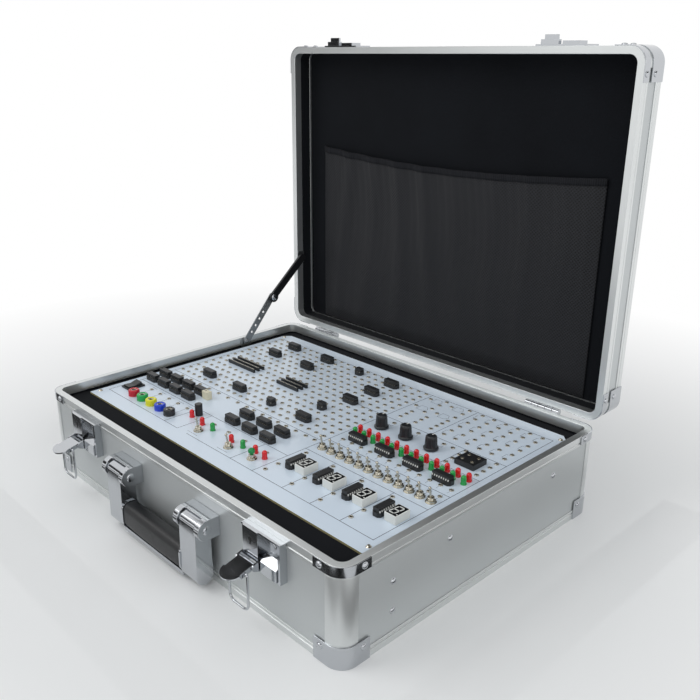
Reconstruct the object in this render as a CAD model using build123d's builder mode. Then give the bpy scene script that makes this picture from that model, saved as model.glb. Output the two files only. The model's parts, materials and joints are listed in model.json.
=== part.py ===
"""Digital logic trainer built into an aluminium carrying case, with its lid open.

Units are millimetres. +Z is up, +X runs along the front to the right, and +Y runs from front to back.
The origin is the centre of the case's underside. Lid pieces are drawn closed and then turned open.
"""

import os
from math import acos, atan2, cos, degrees, hypot, radians, sin

from build123d import *

os.makedirs("parts", exist_ok=True)

# ---------------------------------------------------------------- driving dimensions: the case
case_w = 460.0
case_d = 348.0
base_h = 91.0
lid_h = 34.0
seam_gap = 0.5
lid_angle = 90.0
corner_r = 15.0
rim_h = 10.0
groove_w = 1.6
groove_deep = 0.7
groove_up = 4.0
panel_t = 4.0
panel_inset = 0.8
panel_tongue = 3.0
sheet_drop = 1.0
lining_t = 2.2
seam = 0.1
post_w = 18.0
cap_t = 0.9
cap_reach = 30.0
cap_h = 20.0
rim_cap_h = 9.0
rivet_r = 2.6
rivet_h = 1.1
cap_rivet_in = 23.0
side_rivets = [(56.0, 56.0), (56.0, 29.0), (124.0, 64.0), (275.0, 65.0)]

# ---------------------------------------------------------------- driving dimensions: the board
board_w = 430.0
board_d = 288.0
board_t = 2.0
board_drop = 10.0
board_shift = 8.0
board_cut = 8.0
deck_t = 4.0
deck_lap = 10.0
pillar_r = 4.0
pillar_in = 20.0
screw_in = 5.0
screw_r = 2.5
screw_h = 1.4
supply_w = 150.0
supply_d = 96.0
supply_h = 38.0
supply_x = -110.0
supply_y = 70.0
inlet_x = -150.0
inlet_z = 42.0
inlet_w = 27.0
inlet_h = 20.0
inlet_deep = 18.0
inlet_lip = 2.5
inlet_wall = 2.0

# board components; places are measured from the board's front left corner
eyelet_r = 2.2
eyelet_bore_r = 1.05
eyelet_h = 1.0
field_x0 = 12.5
field_y0 = 114.0
field_step_x = 11.3
field_step_y = 11.0
field_columns = 23
field_rows = 15
channel_x0 = 279.0
channel_step = 12.3
channels = 12
toggle_row_y = 95.5
green_row_y = 139.5
red_row_y = 147.0
source_toggles = [(166.0, 31.0), (216.0, 31.0)]
button_place = (250.0, 33.0)
knob_places = [(286.0, 170.0), (318.5, 170.0), (351.0, 170.0)]
socket_x0 = 42.0
socket_step = 17.7
socket_y = 31.0
socket_colours = ["red", "green", "yellow", "blue", "black"]
socket_r = 6.2
socket_h = 7.0
socket_stem_r = 4.0
socket_stem_h = 13.0
socket_bore_r = 2.0
socket_bore_deep = 15.0
nut_r = 4.6
nut_h = 1.6
led_r = 2.5
led_h = 8.6
led_flange_r = 2.9
led_flange_h = 1.0
loose_red_leds = [(134.0, 45.0), (157.0, 42.0), (209.0, 40.0), (243.0, 43.0), (258.0, 42.0)]
loose_green_leds = [(175.0, 42.0), (226.0, 41.0)]
ic_w = 9.4
ic_foot_h = 4.4
ic_top_w = 6.6
ic_top_h = 3.6
ic_bevel = 2.2
ic14_l = 19.6
ic16_l = 22.0
ic8_l = 10.4
display_w = 12.6
display_d = 17.6
display_h = 8.0
display_x0 = 302.0
display_step = 37.0
display_y = 55.0
display_ic_x = -14.5
driver_x0 = 292.0
driver_step = 35.4
driver_y = 130.5
strip_w = 2.6
strip_h = 4.2
strip_step = 7.0
strip_y = 176.0
long_strip = (30.0, 80.0)
short_strip = (122.0, 158.0)
module_w = 22.0
module_d = 20.0
module_h = 5.5
module_place = (395.0, 174.0)
contact_r = 1.2
contact_deep = 2.0
capacitor_r = 4.0
capacitor_h = 13.0
capacitor_place = (135.0, 53.0)

# switches and knobs
hole_gap = 0.05
bushing_r = 3.0
bushing_h = 5.0
bushing_bore_r = 1.8
bushing_bore_deep = 4.2
switch_body_w = 8.0
switch_body_d = 12.6
switch_body_h = 9.0
washer_r = 5.0
washer_h = 0.5
lever_ball_r = 1.5
lever_foot_r = 0.95
lever_tip_r = 1.35
lever_len = 12.5
lever_tilt = 10.0
ball_up = 2.9
button_cap_r = 3.3
button_cap_h = 4.4
button_stem_r = 1.75
button_travel = 1.5
knob_r = 7.4
knob_waist_r = 6.2
knob_top_r = 5.3
knob_h = 15.0
knob_skirt_h = 2.4
knob_clear = 0.6
knob_cavity_r = 5.7
knob_shaft_r = 2.6
pot_bore_r = 2.65
pot_bushing_r = 4.1
pot_bushing_h = 3.6
pot_body_r = 8.0
pot_body_h = 7.0
rocker_place = (19.5, 43.0)
rocker_frame_w = 15.5
rocker_frame_d = 21.0
rocker_frame_h = 1.8
rocker_body_w = 14.0
rocker_body_d = 19.8
rocker_body_h = 10.0
rocker_window_w = 12.2
rocker_window_d = 18.6
rocker_w = 11.6
rocker_d = 16.8
rocker_h = 4.4
rocker_dip = 1.4
rocker_down = 2.0
rocker_tilt = 7.0
rocker_well = 6.0

# ---------------------------------------------------------------- driving dimensions: the hardware
hinge_x = 165.0
hinge_w = 40.0
hinge_leaf_h = 16.0
hinge_leaf_t = 1.2
hinge_reach = 3.4
knuckle_r = 3.0
knuckle_gap = 0.4
hinge_pin_r = 1.5
hinge_pin_clear = 0.06
stay_arm = 67.0
stay_back = 90.0
stay_drop = 5.0
stay_rise = 4.0
stay_arm_h = 10.0
stay_plate_t = 1.2
stay_channel_t = 3.0
stay_gap = 0.3
stay_pin_r = 2.0
stay_elbow_r = 2.6
stay_pin_clear = 0.06
stay_cap_r = 6.6
stay_cap_t = 1.5
stay_foot_w = 16.0
stay_hole_r = 1.6
stay_foot_drop = 5.0
stay_hole_shares = (0.2, 0.35, 0.5, 0.65)
latch_x = 145.0
latch_w = 48.0
latch_h = 36.0
latch_top = 5.0
plate_t = 1.5
lock_off = 11.0
lock_w = 19.0
lock_h = 27.0
lock_d = 6.5
key_r = 2.5
key_deep = 1.0
frame_wall = 3.0
frame_d = 5.0
cover_w = 19.0
cover_h = 17.0
cover_d = 6.5
lever_w = 19.0
lever_l = 14.0
lever_t = 1.4
lever_flange = 4.6
lever_dip = 15.0
lever_pivot_out = 12.0
lever_pivot_z = 57.0
lever_eye_r = 2.8
lever_pin_r = 1.2
lever_pin_clear = 0.06
lug_t = 1.5
lug_gap = 0.3
bail_r = 1.1
bail_clear = 0.09
bail_out = 9.0
bail_l = 34.0
bail_corner_r = 6.0
bail_bend_r = 1.5
bail_side_gap = 1.5
bail_lean = 6.0
lug_r = 3.2
wing_l = 10.0
wing_w = 21.4
wing_t = 1.6
wing_bend = 2.0
catch_w = 52.0
catch_h = 23.0
catch_up = 2.0
nose_w = 14.0
nose_d = 8.5
nose_t = 2.4
nose_gap = 0.5
keeper_w = 17.0
keeper_h = 14.0
keeper_d = 3.0
handle_x = 62.0
handle_pivot_z = 61.0
handle_out = 12.5
handle_drop = 48.0
eye_r = 7.6
arm_end_r = 8.5
arm_w = 24.0
bracket_gap = 0.5
cheek_t = 6.5
cheek_r = 9.5
bracket_top_t = 1.6
handle_pin_r = 2.5
handle_pin_clear = 0.06
rail_h = 4.0
rail_d = 14.0
grip_h = 25.0
grip_d = 17.0
grip_round = 7.0
ring_t = 2.0
ring_proud = 0.8
pocket_in = 28.0
pocket_low = 12.0
pocket_high = 235.0
pocket_deep = 5.0
pocket_fold = 2.6
pocket_folds = 12
pocket_clear = 0.3

# ---------------------------------------------------------------- derived places
rim_w = panel_inset + panel_t + lining_t
front_y = -case_d / 2
back_y = case_d / 2
lid_z = base_h + seam_gap
lid_top_z = lid_z + lid_h
board_top_z = base_h - board_drop
board_z = board_top_z - board_t
floor_z = panel_t
axis_y = back_y + hinge_reach
axis_z = base_h + seam_gap / 2
hinge_axis = Axis((0, axis_y, axis_z), (1, 0, 0))
channel_x = [channel_x0 + channel_step * i for i in range(channels)]
toggle_places = [(x, toggle_row_y) for x in channel_x]
bottom = (Align.CENTER, Align.CENTER, Align.MIN)
top = (Align.CENTER, Align.CENTER, Align.MAX)


def save(piece, name):
    """Label one finished piece and write its STEP file."""
    piece.label = name
    export_step(piece, f"parts/{name}.step")


def opened(piece):
    """Turn a piece of the closed lid open about the hinge axis."""
    return piece.rotate(hinge_axis, -lid_angle)


def on_board(places):
    """Turn places measured from the board's front left corner into case places."""
    return [(x - board_w / 2, y - board_d / 2 + board_shift) for x, y in places]


def copies(one, places, z):
    """Repeat one piece at several board places, as separate solids."""
    with BuildPart() as group:
        with Locations(*[(x, y, z) for x, y in on_board(places)]):
            add(one)
    return group.part


def side_plane(x):
    """A plane across the case at x, with its own x along Y and its own y along Z."""
    return Plane(origin=(x, 0, 0), x_dir=(0, 1, 0), z_dir=(1, 0, 0))


# ---------------------------------------------------------------- case walls, shared by base and lid
def outline(inset):
    """Draw the case's rounded outline, moved in by inset."""
    RectangleRounded(case_w - 2 * inset, case_d - 2 * inset, corner_r - inset)


def hollow(inset):
    """Cut the case's rounded outline, moved in by inset, out of the sketch."""
    radius = corner_r - inset
    RectangleRounded(case_w - 2 * inset, case_d - 2 * inset, radius, mode=Mode.SUBTRACT)


def keep_corners(reach):
    """Cut a sketch back to its four corners, each reaching in by reach."""
    Rectangle(case_w - 2 * reach, case_d + 2 * reach, mode=Mode.SUBTRACT)
    Rectangle(case_w + 2 * reach, case_d - 2 * reach, mode=Mode.SUBTRACT)


def cut_corners():
    """Cut the four corner posts' squares out of the sketch."""
    with GridLocations(case_w - post_w, case_d - post_w, 2, 2):
        Rectangle(post_w, post_w, mode=Mode.SUBTRACT)


def extrusion_ring(z, groove_z, slot_z):
    """Make one aluminium ring with an outer groove and slots for the panels' edges."""
    with BuildPart() as ring:
        with BuildSketch(Plane.XY.offset(z)):
            outline(0)
            hollow(rim_w)
        extrude(amount=rim_h)
        with BuildSketch(Plane.XY.offset(groove_z)):
            outline(-groove_deep)
            hollow(groove_deep)
        extrude(amount=groove_w, mode=Mode.SUBTRACT)
        with BuildSketch(Plane.XY.offset(slot_z)):
            outline(panel_inset)
            hollow(panel_inset + panel_t)
            cut_corners()
        extrude(amount=panel_tongue, mode=Mode.SUBTRACT)
    return ring.part


def corner_posts(z, height):
    """Make four quarter-round posts between two rings."""
    with BuildPart() as posts:
        with BuildSketch(Plane.XY.offset(z)):
            outline(0)
            hollow(panel_inset + panel_t)
            keep_corners(post_w)
        extrude(amount=height)
    return posts.part


def wall_panels(z, height):
    """Make four flat panels between the posts, with their edges in the rings' slots."""
    inner = panel_inset + panel_t
    with BuildPart() as panels:
        with BuildSketch(Plane.XY.offset(z)):
            Rectangle(case_w - 2 * panel_inset, case_d - 2 * panel_inset)
            Rectangle(case_w - 2 * inner, case_d - 2 * inner, mode=Mode.SUBTRACT)
            cut_corners()
        extrude(amount=height)
    return panels.part


def corner_caps(z, height, rivet_z):
    """Make four chrome shells round the outside corners, each with two rivet heads."""
    with BuildPart() as caps:
        with BuildSketch(Plane.XY.offset(z)):
            outline(-cap_t)
            hollow(0)
            keep_corners(cap_reach)
        extrude(amount=height)
        for side in (1, -1):
            face = Plane((0, side * (case_d / 2 + cap_t), rivet_z), (1, 0, 0), (0, side, 0))
            with Locations(face):
                with GridLocations(case_w - 2 * cap_rivet_in, 1, 2, 1):
                    Cone(rivet_r, rivet_r / 2, rivet_h, align=bottom)
            flank = Plane((side * (case_w / 2 + cap_t), 0, rivet_z), (0, 1, 0), (side, 0, 0))
            with Locations(flank):
                with GridLocations(case_d - 2 * cap_rivet_in, 1, 2, 1):
                    Cone(rivet_r, rivet_r / 2, rivet_h, align=bottom)
    return caps.part


# ---------------------------------------------------------------- base shell
base_panel_z = rim_h - panel_tongue
base_panel_h = base_h - 2 * rim_h + 2 * panel_tongue

with BuildPart() as base_panels:
    add(wall_panels(base_panel_z, base_panel_h))
    with BuildSketch(Plane.XY.offset(floor_z - panel_t)):
        outline(rim_w)
    extrude(amount=panel_t)
    with Locations((inlet_x, back_y - panel_inset - panel_t / 2, inlet_z)):
        Box(inlet_w, panel_t, inlet_h, mode=Mode.SUBTRACT)
save(base_panels.part, "base_panels")

with BuildPart() as base_profiles:
    add(extrusion_ring(0, rim_h - groove_up, rim_h - panel_tongue))
    add(extrusion_ring(base_h - rim_h, base_h - rim_h + groove_up - groove_w, base_h - rim_h))
    add(corner_posts(rim_h + seam, base_h - 2 * rim_h - 2 * seam))
save(base_profiles.part, "base_profiles")

with BuildPart() as base_corner_caps:
    add(corner_caps(0, cap_h, cap_h * 0.7))
    add(corner_caps(base_h - rim_cap_h, rim_cap_h, base_h - rim_cap_h / 2))
    for side in (1, -1):
        flank = Plane((side * (case_w / 2 - panel_inset), front_y, 0), (0, 1, 0), (side, 0, 0))
        with Locations(flank):
            with Locations(*[(y, side * z) for y, z in side_rivets]):
                Cone(rivet_r, rivet_r / 2, rivet_h, align=bottom)
save(base_corner_caps.part, "base_corner_caps")

with BuildPart() as base_lining:
    with BuildSketch(Plane.XY.offset(rim_h)):
        outline(panel_inset + panel_t)
        hollow(rim_w)
    extrude(amount=base_h - 2 * rim_h)
    with BuildSketch(Plane.XY.offset(board_z - deck_t)):
        outline(rim_w + seam)
        with Locations((0, board_shift)):
            Rectangle(board_w - 2 * deck_lap, board_d - 2 * deck_lap, mode=Mode.SUBTRACT)
    extrude(amount=deck_t)
    with Locations((inlet_x, back_y - rim_w + lining_t / 2, inlet_z)):
        Box(inlet_w, lining_t, inlet_h, mode=Mode.SUBTRACT)
save(base_lining.part, "base_lining")

# ---------------------------------------------------------------- trainer board and what is under it
switch_places = toggle_places + source_toggles + [button_place]
socket_places = [(socket_x0 + socket_step * i, socket_y) for i in range(len(socket_colours))]

with BuildPart() as trainer_board:
    with BuildSketch(Plane.XY.offset(board_z)) as board_face:
        with Locations((0, board_shift)):
            Rectangle(board_w, board_d)
        chamfer(board_face.vertices().group_by(Axis.Y)[-1], board_cut)
        with Locations(*on_board(switch_places)):
            Circle(bushing_r + hole_gap, mode=Mode.SUBTRACT)
        with Locations(*on_board(knob_places)):
            Circle(pot_bushing_r + hole_gap, mode=Mode.SUBTRACT)
        with Locations(*on_board(socket_places)):
            Circle(socket_stem_r + hole_gap, mode=Mode.SUBTRACT)
        with Locations(*on_board([rocker_place])):
            Rectangle(rocker_body_w, rocker_body_d, mode=Mode.SUBTRACT)
    extrude(amount=board_t)
save(trainer_board.part, "trainer_board")

with BuildPart() as board_fixings:
    with Locations((0, board_shift, floor_z)):
        with GridLocations(board_w - 2 * pillar_in, board_d - 2 * pillar_in, 2, 2):
            Cylinder(pillar_r, board_z - floor_z, align=bottom)
    with Locations((0, board_shift, board_top_z)):
        with GridLocations(board_w - 2 * screw_in, board_d - 4 * screw_in, 2, 2):
            Cone(screw_r, screw_r / 2, screw_h, align=bottom)
save(board_fixings.part, "board_fixings")

with BuildPart() as power_supply:
    with Locations((supply_x, supply_y, floor_z)):
        Box(supply_w, supply_d, supply_h, align=bottom)
    chamfer(power_supply.faces().sort_by(Axis.Z)[-1].edges(), 2)
save(power_supply.part, "power_supply")

with BuildPart() as mains_inlet:
    with Locations((inlet_x, back_y - panel_inset, inlet_z)):
        Box(inlet_w, inlet_deep, inlet_h, align=(Align.CENTER, Align.MAX, Align.CENTER))
        lip = (Align.CENTER, Align.MIN, Align.CENTER)
        Box(inlet_w + 2 * inlet_lip, inlet_wall, inlet_h + 2 * inlet_lip, align=lip)
    with Locations((inlet_x, back_y - panel_inset + inlet_wall, inlet_z)):
        Box(
            inlet_w - 2 * inlet_wall,
            inlet_deep,
            inlet_h - 2 * inlet_wall,
            align=(Align.CENTER, Align.MAX, Align.CENTER),
            mode=Mode.SUBTRACT,
        )
save(mains_inlet.part, "mains_inlet")

# ---------------------------------------------------------------- sockets, LEDs, circuits, displays
for colour, place in zip(socket_colours, socket_places):
    with BuildPart() as socket:
        with Locations(*[(x, y, board_top_z) for x, y in on_board([place])]):
            Cylinder(socket_r, socket_h, align=bottom)
            Cylinder(socket_stem_r, socket_stem_h, align=top)
        chamfer(socket.faces().sort_by(Axis.Z)[-1].edges(), 1)
        with Locations(*[(x, y, board_top_z + socket_h) for x, y in on_board([place])]):
            Cylinder(socket_bore_r, socket_bore_deep, align=top, mode=Mode.SUBTRACT)
    save(socket.part, f"socket_{colour}")

with BuildPart() as led:
    Cylinder(led_flange_r, led_flange_h, align=bottom)
    Cylinder(led_r, led_h, align=bottom)
    fillet(led.faces().sort_by(Axis.Z)[-1].edges(), led_r * 0.9)

red_places = loose_red_leds + [(x, red_row_y) for x in channel_x]
green_places = loose_green_leds + [(x, green_row_y) for x in channel_x]
save(copies(led.part, red_places, board_top_z), "leds_red")
save(copies(led.part, green_places, board_top_z), "leds_green")


def circuit(length, turn):
    """Make one integrated circuit in its socket, bevelled at the corners."""
    with BuildPart() as chip:
        with BuildSketch() as foot:
            Rectangle(length, ic_w, rotation=turn)
            chamfer(foot.vertices(), ic_bevel)
        extrude(amount=ic_foot_h)
        with BuildSketch(Plane.XY.offset(ic_foot_h)):
            Rectangle(length - ic_bevel, ic_top_w, rotation=turn)
        extrude(amount=ic_top_h)
    return chip.part


ic14 = circuit(ic14_l, 0)
ic8 = circuit(ic8_l, 0)
ic16 = circuit(ic16_l, 0)
ic16_turned = circuit(ic16_l, 90)

bus_ics = [(18.5 + 23.6 * column, 70.0 + 17.0 * row) for row in (0, 1) for column in range(4)]
gate_ics = [(174.0 + 28.2 * column, 67.5 + 18.5 * row) for row in (0, 1) for column in range(3)]
field_ics = [
    (52.0, 125.0), (109.5, 125.0), (218.0, 125.0), (219.0, 191.5), (51.0, 224.5),
    (111.0, 224.5), (219.0, 224.5), (51.0, 256.5), (112.0, 256.5), (219.0, 256.5),
]
small_ics = [(165.5, 125.0), (210.5, 157.5), (167.5, 256.5)]
driver_ics = [(driver_x0 + driver_step * i, driver_y) for i in range(4)]
display_places = [(display_x0 + display_step * i, display_y) for i in range(4)]
display_ics = [(x + display_ic_x, y) for x, y in display_places]

with BuildPart() as logic_ics:
    add(copies(ic14, bus_ics + gate_ics + field_ics, board_top_z))
    add(copies(ic8, small_ics, board_top_z))
    add(copies(ic16, driver_ics, board_top_z))
    add(copies(ic16_turned, display_ics, board_top_z))
save(logic_ics.part, "logic_ics")

with BuildPart() as display_housings:
    with Locations(*[(x, y, board_top_z) for x, y in on_board(display_places)]):
        Box(display_w, display_d, display_h, align=bottom)
save(display_housings.part, "display_housings")

with BuildPart() as pin_strips:
    for left, right in (long_strip, short_strip):
        row_places = [((left + right) / 2, strip_y + strip_step * row) for row in (-1, 0, 1)]
        with Locations(*[(x, y, board_top_z) for x, y in on_board(row_places)]):
            Box(right - left, strip_w, strip_h, align=bottom)
save(pin_strips.part, "pin_strips")

with BuildPart() as rocker_frame:
    Box(rocker_body_w, rocker_body_d, rocker_body_h, align=top)
    Box(rocker_frame_w, rocker_frame_d, rocker_frame_h, align=bottom)
    with Locations((0, 0, rocker_frame_h)):
        Box(rocker_window_w, rocker_window_d, rocker_frame_h + rocker_well, align=top, mode=Mode.SUBTRACT)

with BuildPart() as square_module:
    Box(module_w, module_d, module_h, align=bottom)
    with Locations((0, 0, module_h)):
        with GridLocations(module_w / 2, module_d / 2, 2, 2):
            Cylinder(contact_r, contact_deep, align=top, mode=Mode.SUBTRACT)

with BuildPart() as capacitor:
    Cylinder(capacitor_r, capacitor_h, align=bottom)
    fillet(capacitor.faces().sort_by(Axis.Z)[-1].edges(), 0.8)

with BuildPart() as board_modules:
    add(copies(rocker_frame.part, [rocker_place], board_top_z))
    add(copies(square_module.part, [module_place], board_top_z))
    add(copies(capacitor.part, [capacitor_place], board_top_z))
save(board_modules.part, "board_modules")

# ---------------------------------------------------------------- eyelet sockets
keep_outs = [(x, y, ic14_l, ic_w) for x, y in field_ics + small_ics]
for left, right in (long_strip, short_strip):
    keep_outs.append(((left + right) / 2, strip_y, right - left, 2 * strip_step + strip_w))


def is_free(place):
    """Tell whether an eyelet at this board place clears every circuit and strip."""
    for x, y, width, depth in keep_outs:
        if abs(place[0] - x) < width / 2 + eyelet_r + 0.6 and abs(place[1] - y) < depth / 2 + eyelet_r + 0.3:
            return False
    return True


field = [
    (field_x0 + field_step_x * column, field_y0 + field_step_y * row)
    for row in range(field_rows)
    for column in range(field_columns)
]
cell_eyelets = [(x - 27.5, y) for x, _ in display_places for y in (29.5, 44.5)]
cell_eyelets += [(x - 26.0, 77.5) for x, _ in display_places]
channel_eyelets = [(x, y) for x in channel_x for y in (107.5, 123.0)]
supply_eyelets = [(x, 53.0) for x, _ in socket_places]
source_eyelets = [(x, 50.5) for x in (166.0, 190.0, 217.0, 234.0, 250.5)]
bus_eyelets = [(x, 101.5) for x in (30.0, 48.0, 66.0, 84.0, 102.0, 119.0, 137.0, 153.0, 165.0)]
bus_eyelets += [(x, 101.5) for x in (180.0, 192.0, 205.0, 218.0, 233.0, 248.0, 261.0)]
gate_eyelets = [(x, y) for x in (281.0, 301.5, 322.0) for y in (204.0, 213.0, 221.5)]
gate_eyelets += [(x, y) for x in (273.5, 302.5) for y in (237.0, 261.0)]
gate_eyelets += [(x, y) for x in (291.0, 322.0) for y in (230.5, 242.5, 255.0, 267.0)]
part_eyelets = [(339.0 + 14.5 * i, y) for i in range(6) for y in (204.0, 216.0, 229.0, 242.0, 254.5, 267.0)]
pot_eyelets = [(x, 187.0) for x in (288.0, 300.0, 320.5, 334.0, 353.0, 364.0)]
module_eyelets = [(x, y) for x in (377.0, 412.5) for y in (160.5, 170.5, 180.5, 190.5)]
eyelet_places = [place for place in field if is_free(place)]
eyelet_places += cell_eyelets + channel_eyelets + supply_eyelets + source_eyelets + bus_eyelets
eyelet_places += gate_eyelets + part_eyelets + pot_eyelets + module_eyelets

with BuildPart() as eyelet:
    Cylinder(eyelet_r, eyelet_h, align=bottom)
    Cylinder(eyelet_bore_r, eyelet_h, align=bottom, mode=Mode.SUBTRACT)
save(copies(eyelet.part, eyelet_places, board_top_z), "eyelets")

# ---------------------------------------------------------------- toggle switches, button, knobs, rocker
with BuildPart() as toggle_base:
    Cylinder(bushing_r, bushing_h, align=bottom)
    Cylinder(bushing_r, board_t, align=top)
    Cylinder(washer_r, washer_h, align=bottom)
    with BuildSketch(Plane.XY.offset(washer_h)):
        RegularPolygon(nut_r, 6)
    extrude(amount=nut_h)
    with Locations((0, 0, -board_t)):
        Box(switch_body_w, switch_body_d, switch_body_h, align=top)
    with Locations((0, 0, bushing_h)):
        Cylinder(bushing_bore_r, bushing_bore_deep, align=top, mode=Mode.SUBTRACT)

with BuildPart() as pot_base:
    Cylinder(pot_bushing_r, pot_bushing_h, align=bottom)
    Cylinder(pot_bushing_r, board_t, align=top)
    with Locations((0, 0, -board_t)):
        Cylinder(pot_body_r, pot_body_h, align=top)
    with Locations((0, 0, pot_bushing_h)):
        Cylinder(pot_bore_r, pot_bushing_h + board_t, align=top, mode=Mode.SUBTRACT)

with BuildPart() as switch_bushings:
    add(copies(toggle_base.part, switch_places, board_top_z))
    add(copies(pot_base.part, knob_places, board_top_z))
save(switch_bushings.part, "switch_bushings")

lever_names = [f"data_toggle_{i + 1}" for i in range(channels)] + ["source_toggle_1", "source_toggle_2"]
with BuildPart() as toggle_lever:
    Sphere(lever_ball_r)
    Cone(lever_foot_r, lever_tip_r, lever_len - lever_tip_r, align=bottom)
    with Locations((0, 0, lever_len - lever_tip_r)):
        Sphere(lever_tip_r)
resting_lever = toggle_lever.part.rotate(Axis.X, lever_tilt)
for name, place in zip(lever_names, toggle_places + source_toggles):
    save(copies(resting_lever, [place], board_top_z + ball_up), name)

with BuildPart() as push_button:
    with Locations((0, 0, bushing_h - bushing_bore_deep + button_travel + stay_gap)):
        Cylinder(button_stem_r, bushing_bore_deep, align=bottom)
    with Locations((0, 0, bushing_h + button_travel + stay_gap)):
        Cylinder(button_cap_r, button_cap_h, align=bottom)
    fillet(push_button.faces().sort_by(Axis.Z)[-1].edges(), button_cap_h / 2)
save(copies(push_button.part, [button_place], board_top_z), "push_button")

with BuildPart() as knob:
    with BuildSketch(Plane.XZ):
        with BuildLine():
            Polyline(
                (0, knob_clear),
                (knob_r, knob_clear),
                (knob_r, knob_clear + knob_skirt_h),
                (knob_waist_r, knob_clear + knob_skirt_h + 0.8),
                (knob_top_r, knob_h - 1.2),
                (knob_top_r - 1.6, knob_h),
                (0, knob_h),
                close=True,
            )
        make_face()
    revolve(axis=Axis.Z)
    with Locations((0, 0, knob_clear)):
        Cylinder(knob_cavity_r, pot_bushing_h + stay_gap - knob_clear, align=bottom, mode=Mode.SUBTRACT)
    with Locations((0, 0, pot_bushing_h + stay_gap)):
        Cylinder(knob_shaft_r, pot_bushing_h + board_t, align=top)
for number, place in enumerate(knob_places, start=1):
    save(copies(knob.part, [place], board_top_z), f"knob_{number}")

with BuildPart() as rocker:
    with BuildSketch(Plane.YZ.offset(-rocker_w / 2)):
        with BuildLine():
            Polyline(
                (-rocker_d / 2, -rocker_down),
                (rocker_d / 2, -rocker_down),
                (rocker_d / 2, rocker_h),
                (0, rocker_h - rocker_dip),
                (-rocker_d / 2, rocker_h),
                close=True,
            )
        make_face()
    extrude(amount=rocker_w)
resting_rocker = rocker.part.rotate(Axis.X, rocker_tilt)
save(copies(resting_rocker, [rocker_place], board_top_z), "rocker")

# ---------------------------------------------------------------- hinges
knuckle_w = (hinge_w - 4 * knuckle_gap) / 5


def hinge_leaf(up, turns):
    """Make one leaf's plate and knuckles; up is 1 for the lid's leaf and -1 for the base's."""
    with BuildPart() as leaf:
        edge = knuckle_r + knuckle_gap
        middle = axis_z + up * (edge + hinge_leaf_h) / 2
        with Locations((0, back_y + hinge_leaf_t / 2, axis_z + up * (edge + hinge_leaf_h / 2))):
            Box(hinge_w, hinge_leaf_t, hinge_leaf_h)
        for turn in turns:
            x = turn * (knuckle_w + knuckle_gap)
            with Locations((x, back_y + hinge_leaf_t / 2, middle)):
                Box(knuckle_w, hinge_leaf_t, edge + hinge_leaf_h)
            with Locations(Location((x, axis_y, axis_z), (0, 90, 0))):
                Cylinder(knuckle_r, knuckle_w)
        with Locations(Location((0, axis_y, axis_z), (0, 90, 0))):
            Cylinder(hinge_pin_r + max(up, 0) * hinge_pin_clear, hinge_w, mode=Mode.SUBTRACT)
    return leaf.part


with BuildPart() as hinge_base_leaves:
    base_leaf = hinge_leaf(-1, (-2, 0, 2))
    with Locations((-hinge_x, 0, 0), (hinge_x, 0, 0)):
        add(base_leaf)
    with Locations(*[Location((x, axis_y, axis_z), (0, 90, 0)) for x in (-hinge_x, hinge_x)]):
        Cylinder(hinge_pin_r, hinge_w)
save(hinge_base_leaves.part, "hinge_base_leaves")

with BuildPart() as hinge_lid_leaves:
    lid_leaf = hinge_leaf(1, (-1, 1))
    with Locations((-hinge_x, 0, 0), (hinge_x, 0, 0)):
        add(lid_leaf)
save(opened(hinge_lid_leaves.part), "hinge_lid_leaves")

# ---------------------------------------------------------------- lid shell, drawn closed
lid_panel_z = lid_z + rim_h - panel_tongue
lid_panel_h = lid_h - 2 * rim_h + 2 * panel_tongue
lid_sheet_z = lid_top_z - sheet_drop - panel_t
liner_z = lid_sheet_z - lining_t

with BuildPart() as lid_panels:
    add(wall_panels(lid_panel_z, lid_panel_h))
    with BuildSketch(Plane.XY.offset(lid_sheet_z)):
        outline(rim_w)
    extrude(amount=panel_t)
save(opened(lid_panels.part), "lid_panels")

with BuildPart() as lid_profiles:
    add(extrusion_ring(lid_z, lid_z + rim_h - groove_up, lid_z + rim_h - panel_tongue))
    add(extrusion_ring(lid_top_z - rim_h, lid_top_z - rim_h + groove_up - groove_w, lid_top_z - rim_h))
    add(corner_posts(lid_z + rim_h + seam, lid_h - 2 * rim_h - 2 * seam))
save(opened(lid_profiles.part), "lid_profiles")

with BuildPart() as lid_corner_caps:
    add(corner_caps(lid_top_z - cap_h, cap_h, lid_top_z - cap_h * 0.7))
    add(corner_caps(lid_z, rim_cap_h, lid_z + rim_cap_h / 2))
save(opened(lid_corner_caps.part), "lid_corner_caps")

with BuildPart() as lid_lining:
    with BuildSketch(Plane.XY.offset(lid_z + rim_h)):
        outline(panel_inset + panel_t)
        hollow(rim_w)
    extrude(amount=lid_h - 2 * rim_h)
    with BuildSketch(Plane.XY.offset(liner_z)):
        outline(rim_w)
    extrude(amount=lining_t)
save(opened(lid_lining.part), "lid_lining")

# the pocket's gathers run up the lid, each one an arc across its width
pocket_w = case_w - 2 * rim_w - 2 * pocket_in
pocket_back_z = liner_z - pocket_clear
pocket_face_z = pocket_back_z - pocket_deep
gather_w = pocket_w / pocket_folds

with BuildPart() as mesh_pocket:
    with BuildSketch(Plane.XZ.offset(pocket_low - axis_y)):
        with BuildLine():
            Polyline(
                (-pocket_w / 2, pocket_face_z),
                (-pocket_w / 2, pocket_back_z),
                (pocket_w / 2, pocket_back_z),
                (pocket_w / 2, pocket_face_z),
            )
            for i in range(pocket_folds):
                left = -pocket_w / 2 + gather_w * i
                ThreePointArc(
                    (left, pocket_face_z),
                    (left + gather_w / 2, pocket_face_z - pocket_fold),
                    (left + gather_w, pocket_face_z),
                )
        make_face()
    extrude(amount=pocket_high - pocket_low)
save(opened(mesh_pocket.part), "mesh_pocket")

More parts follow.
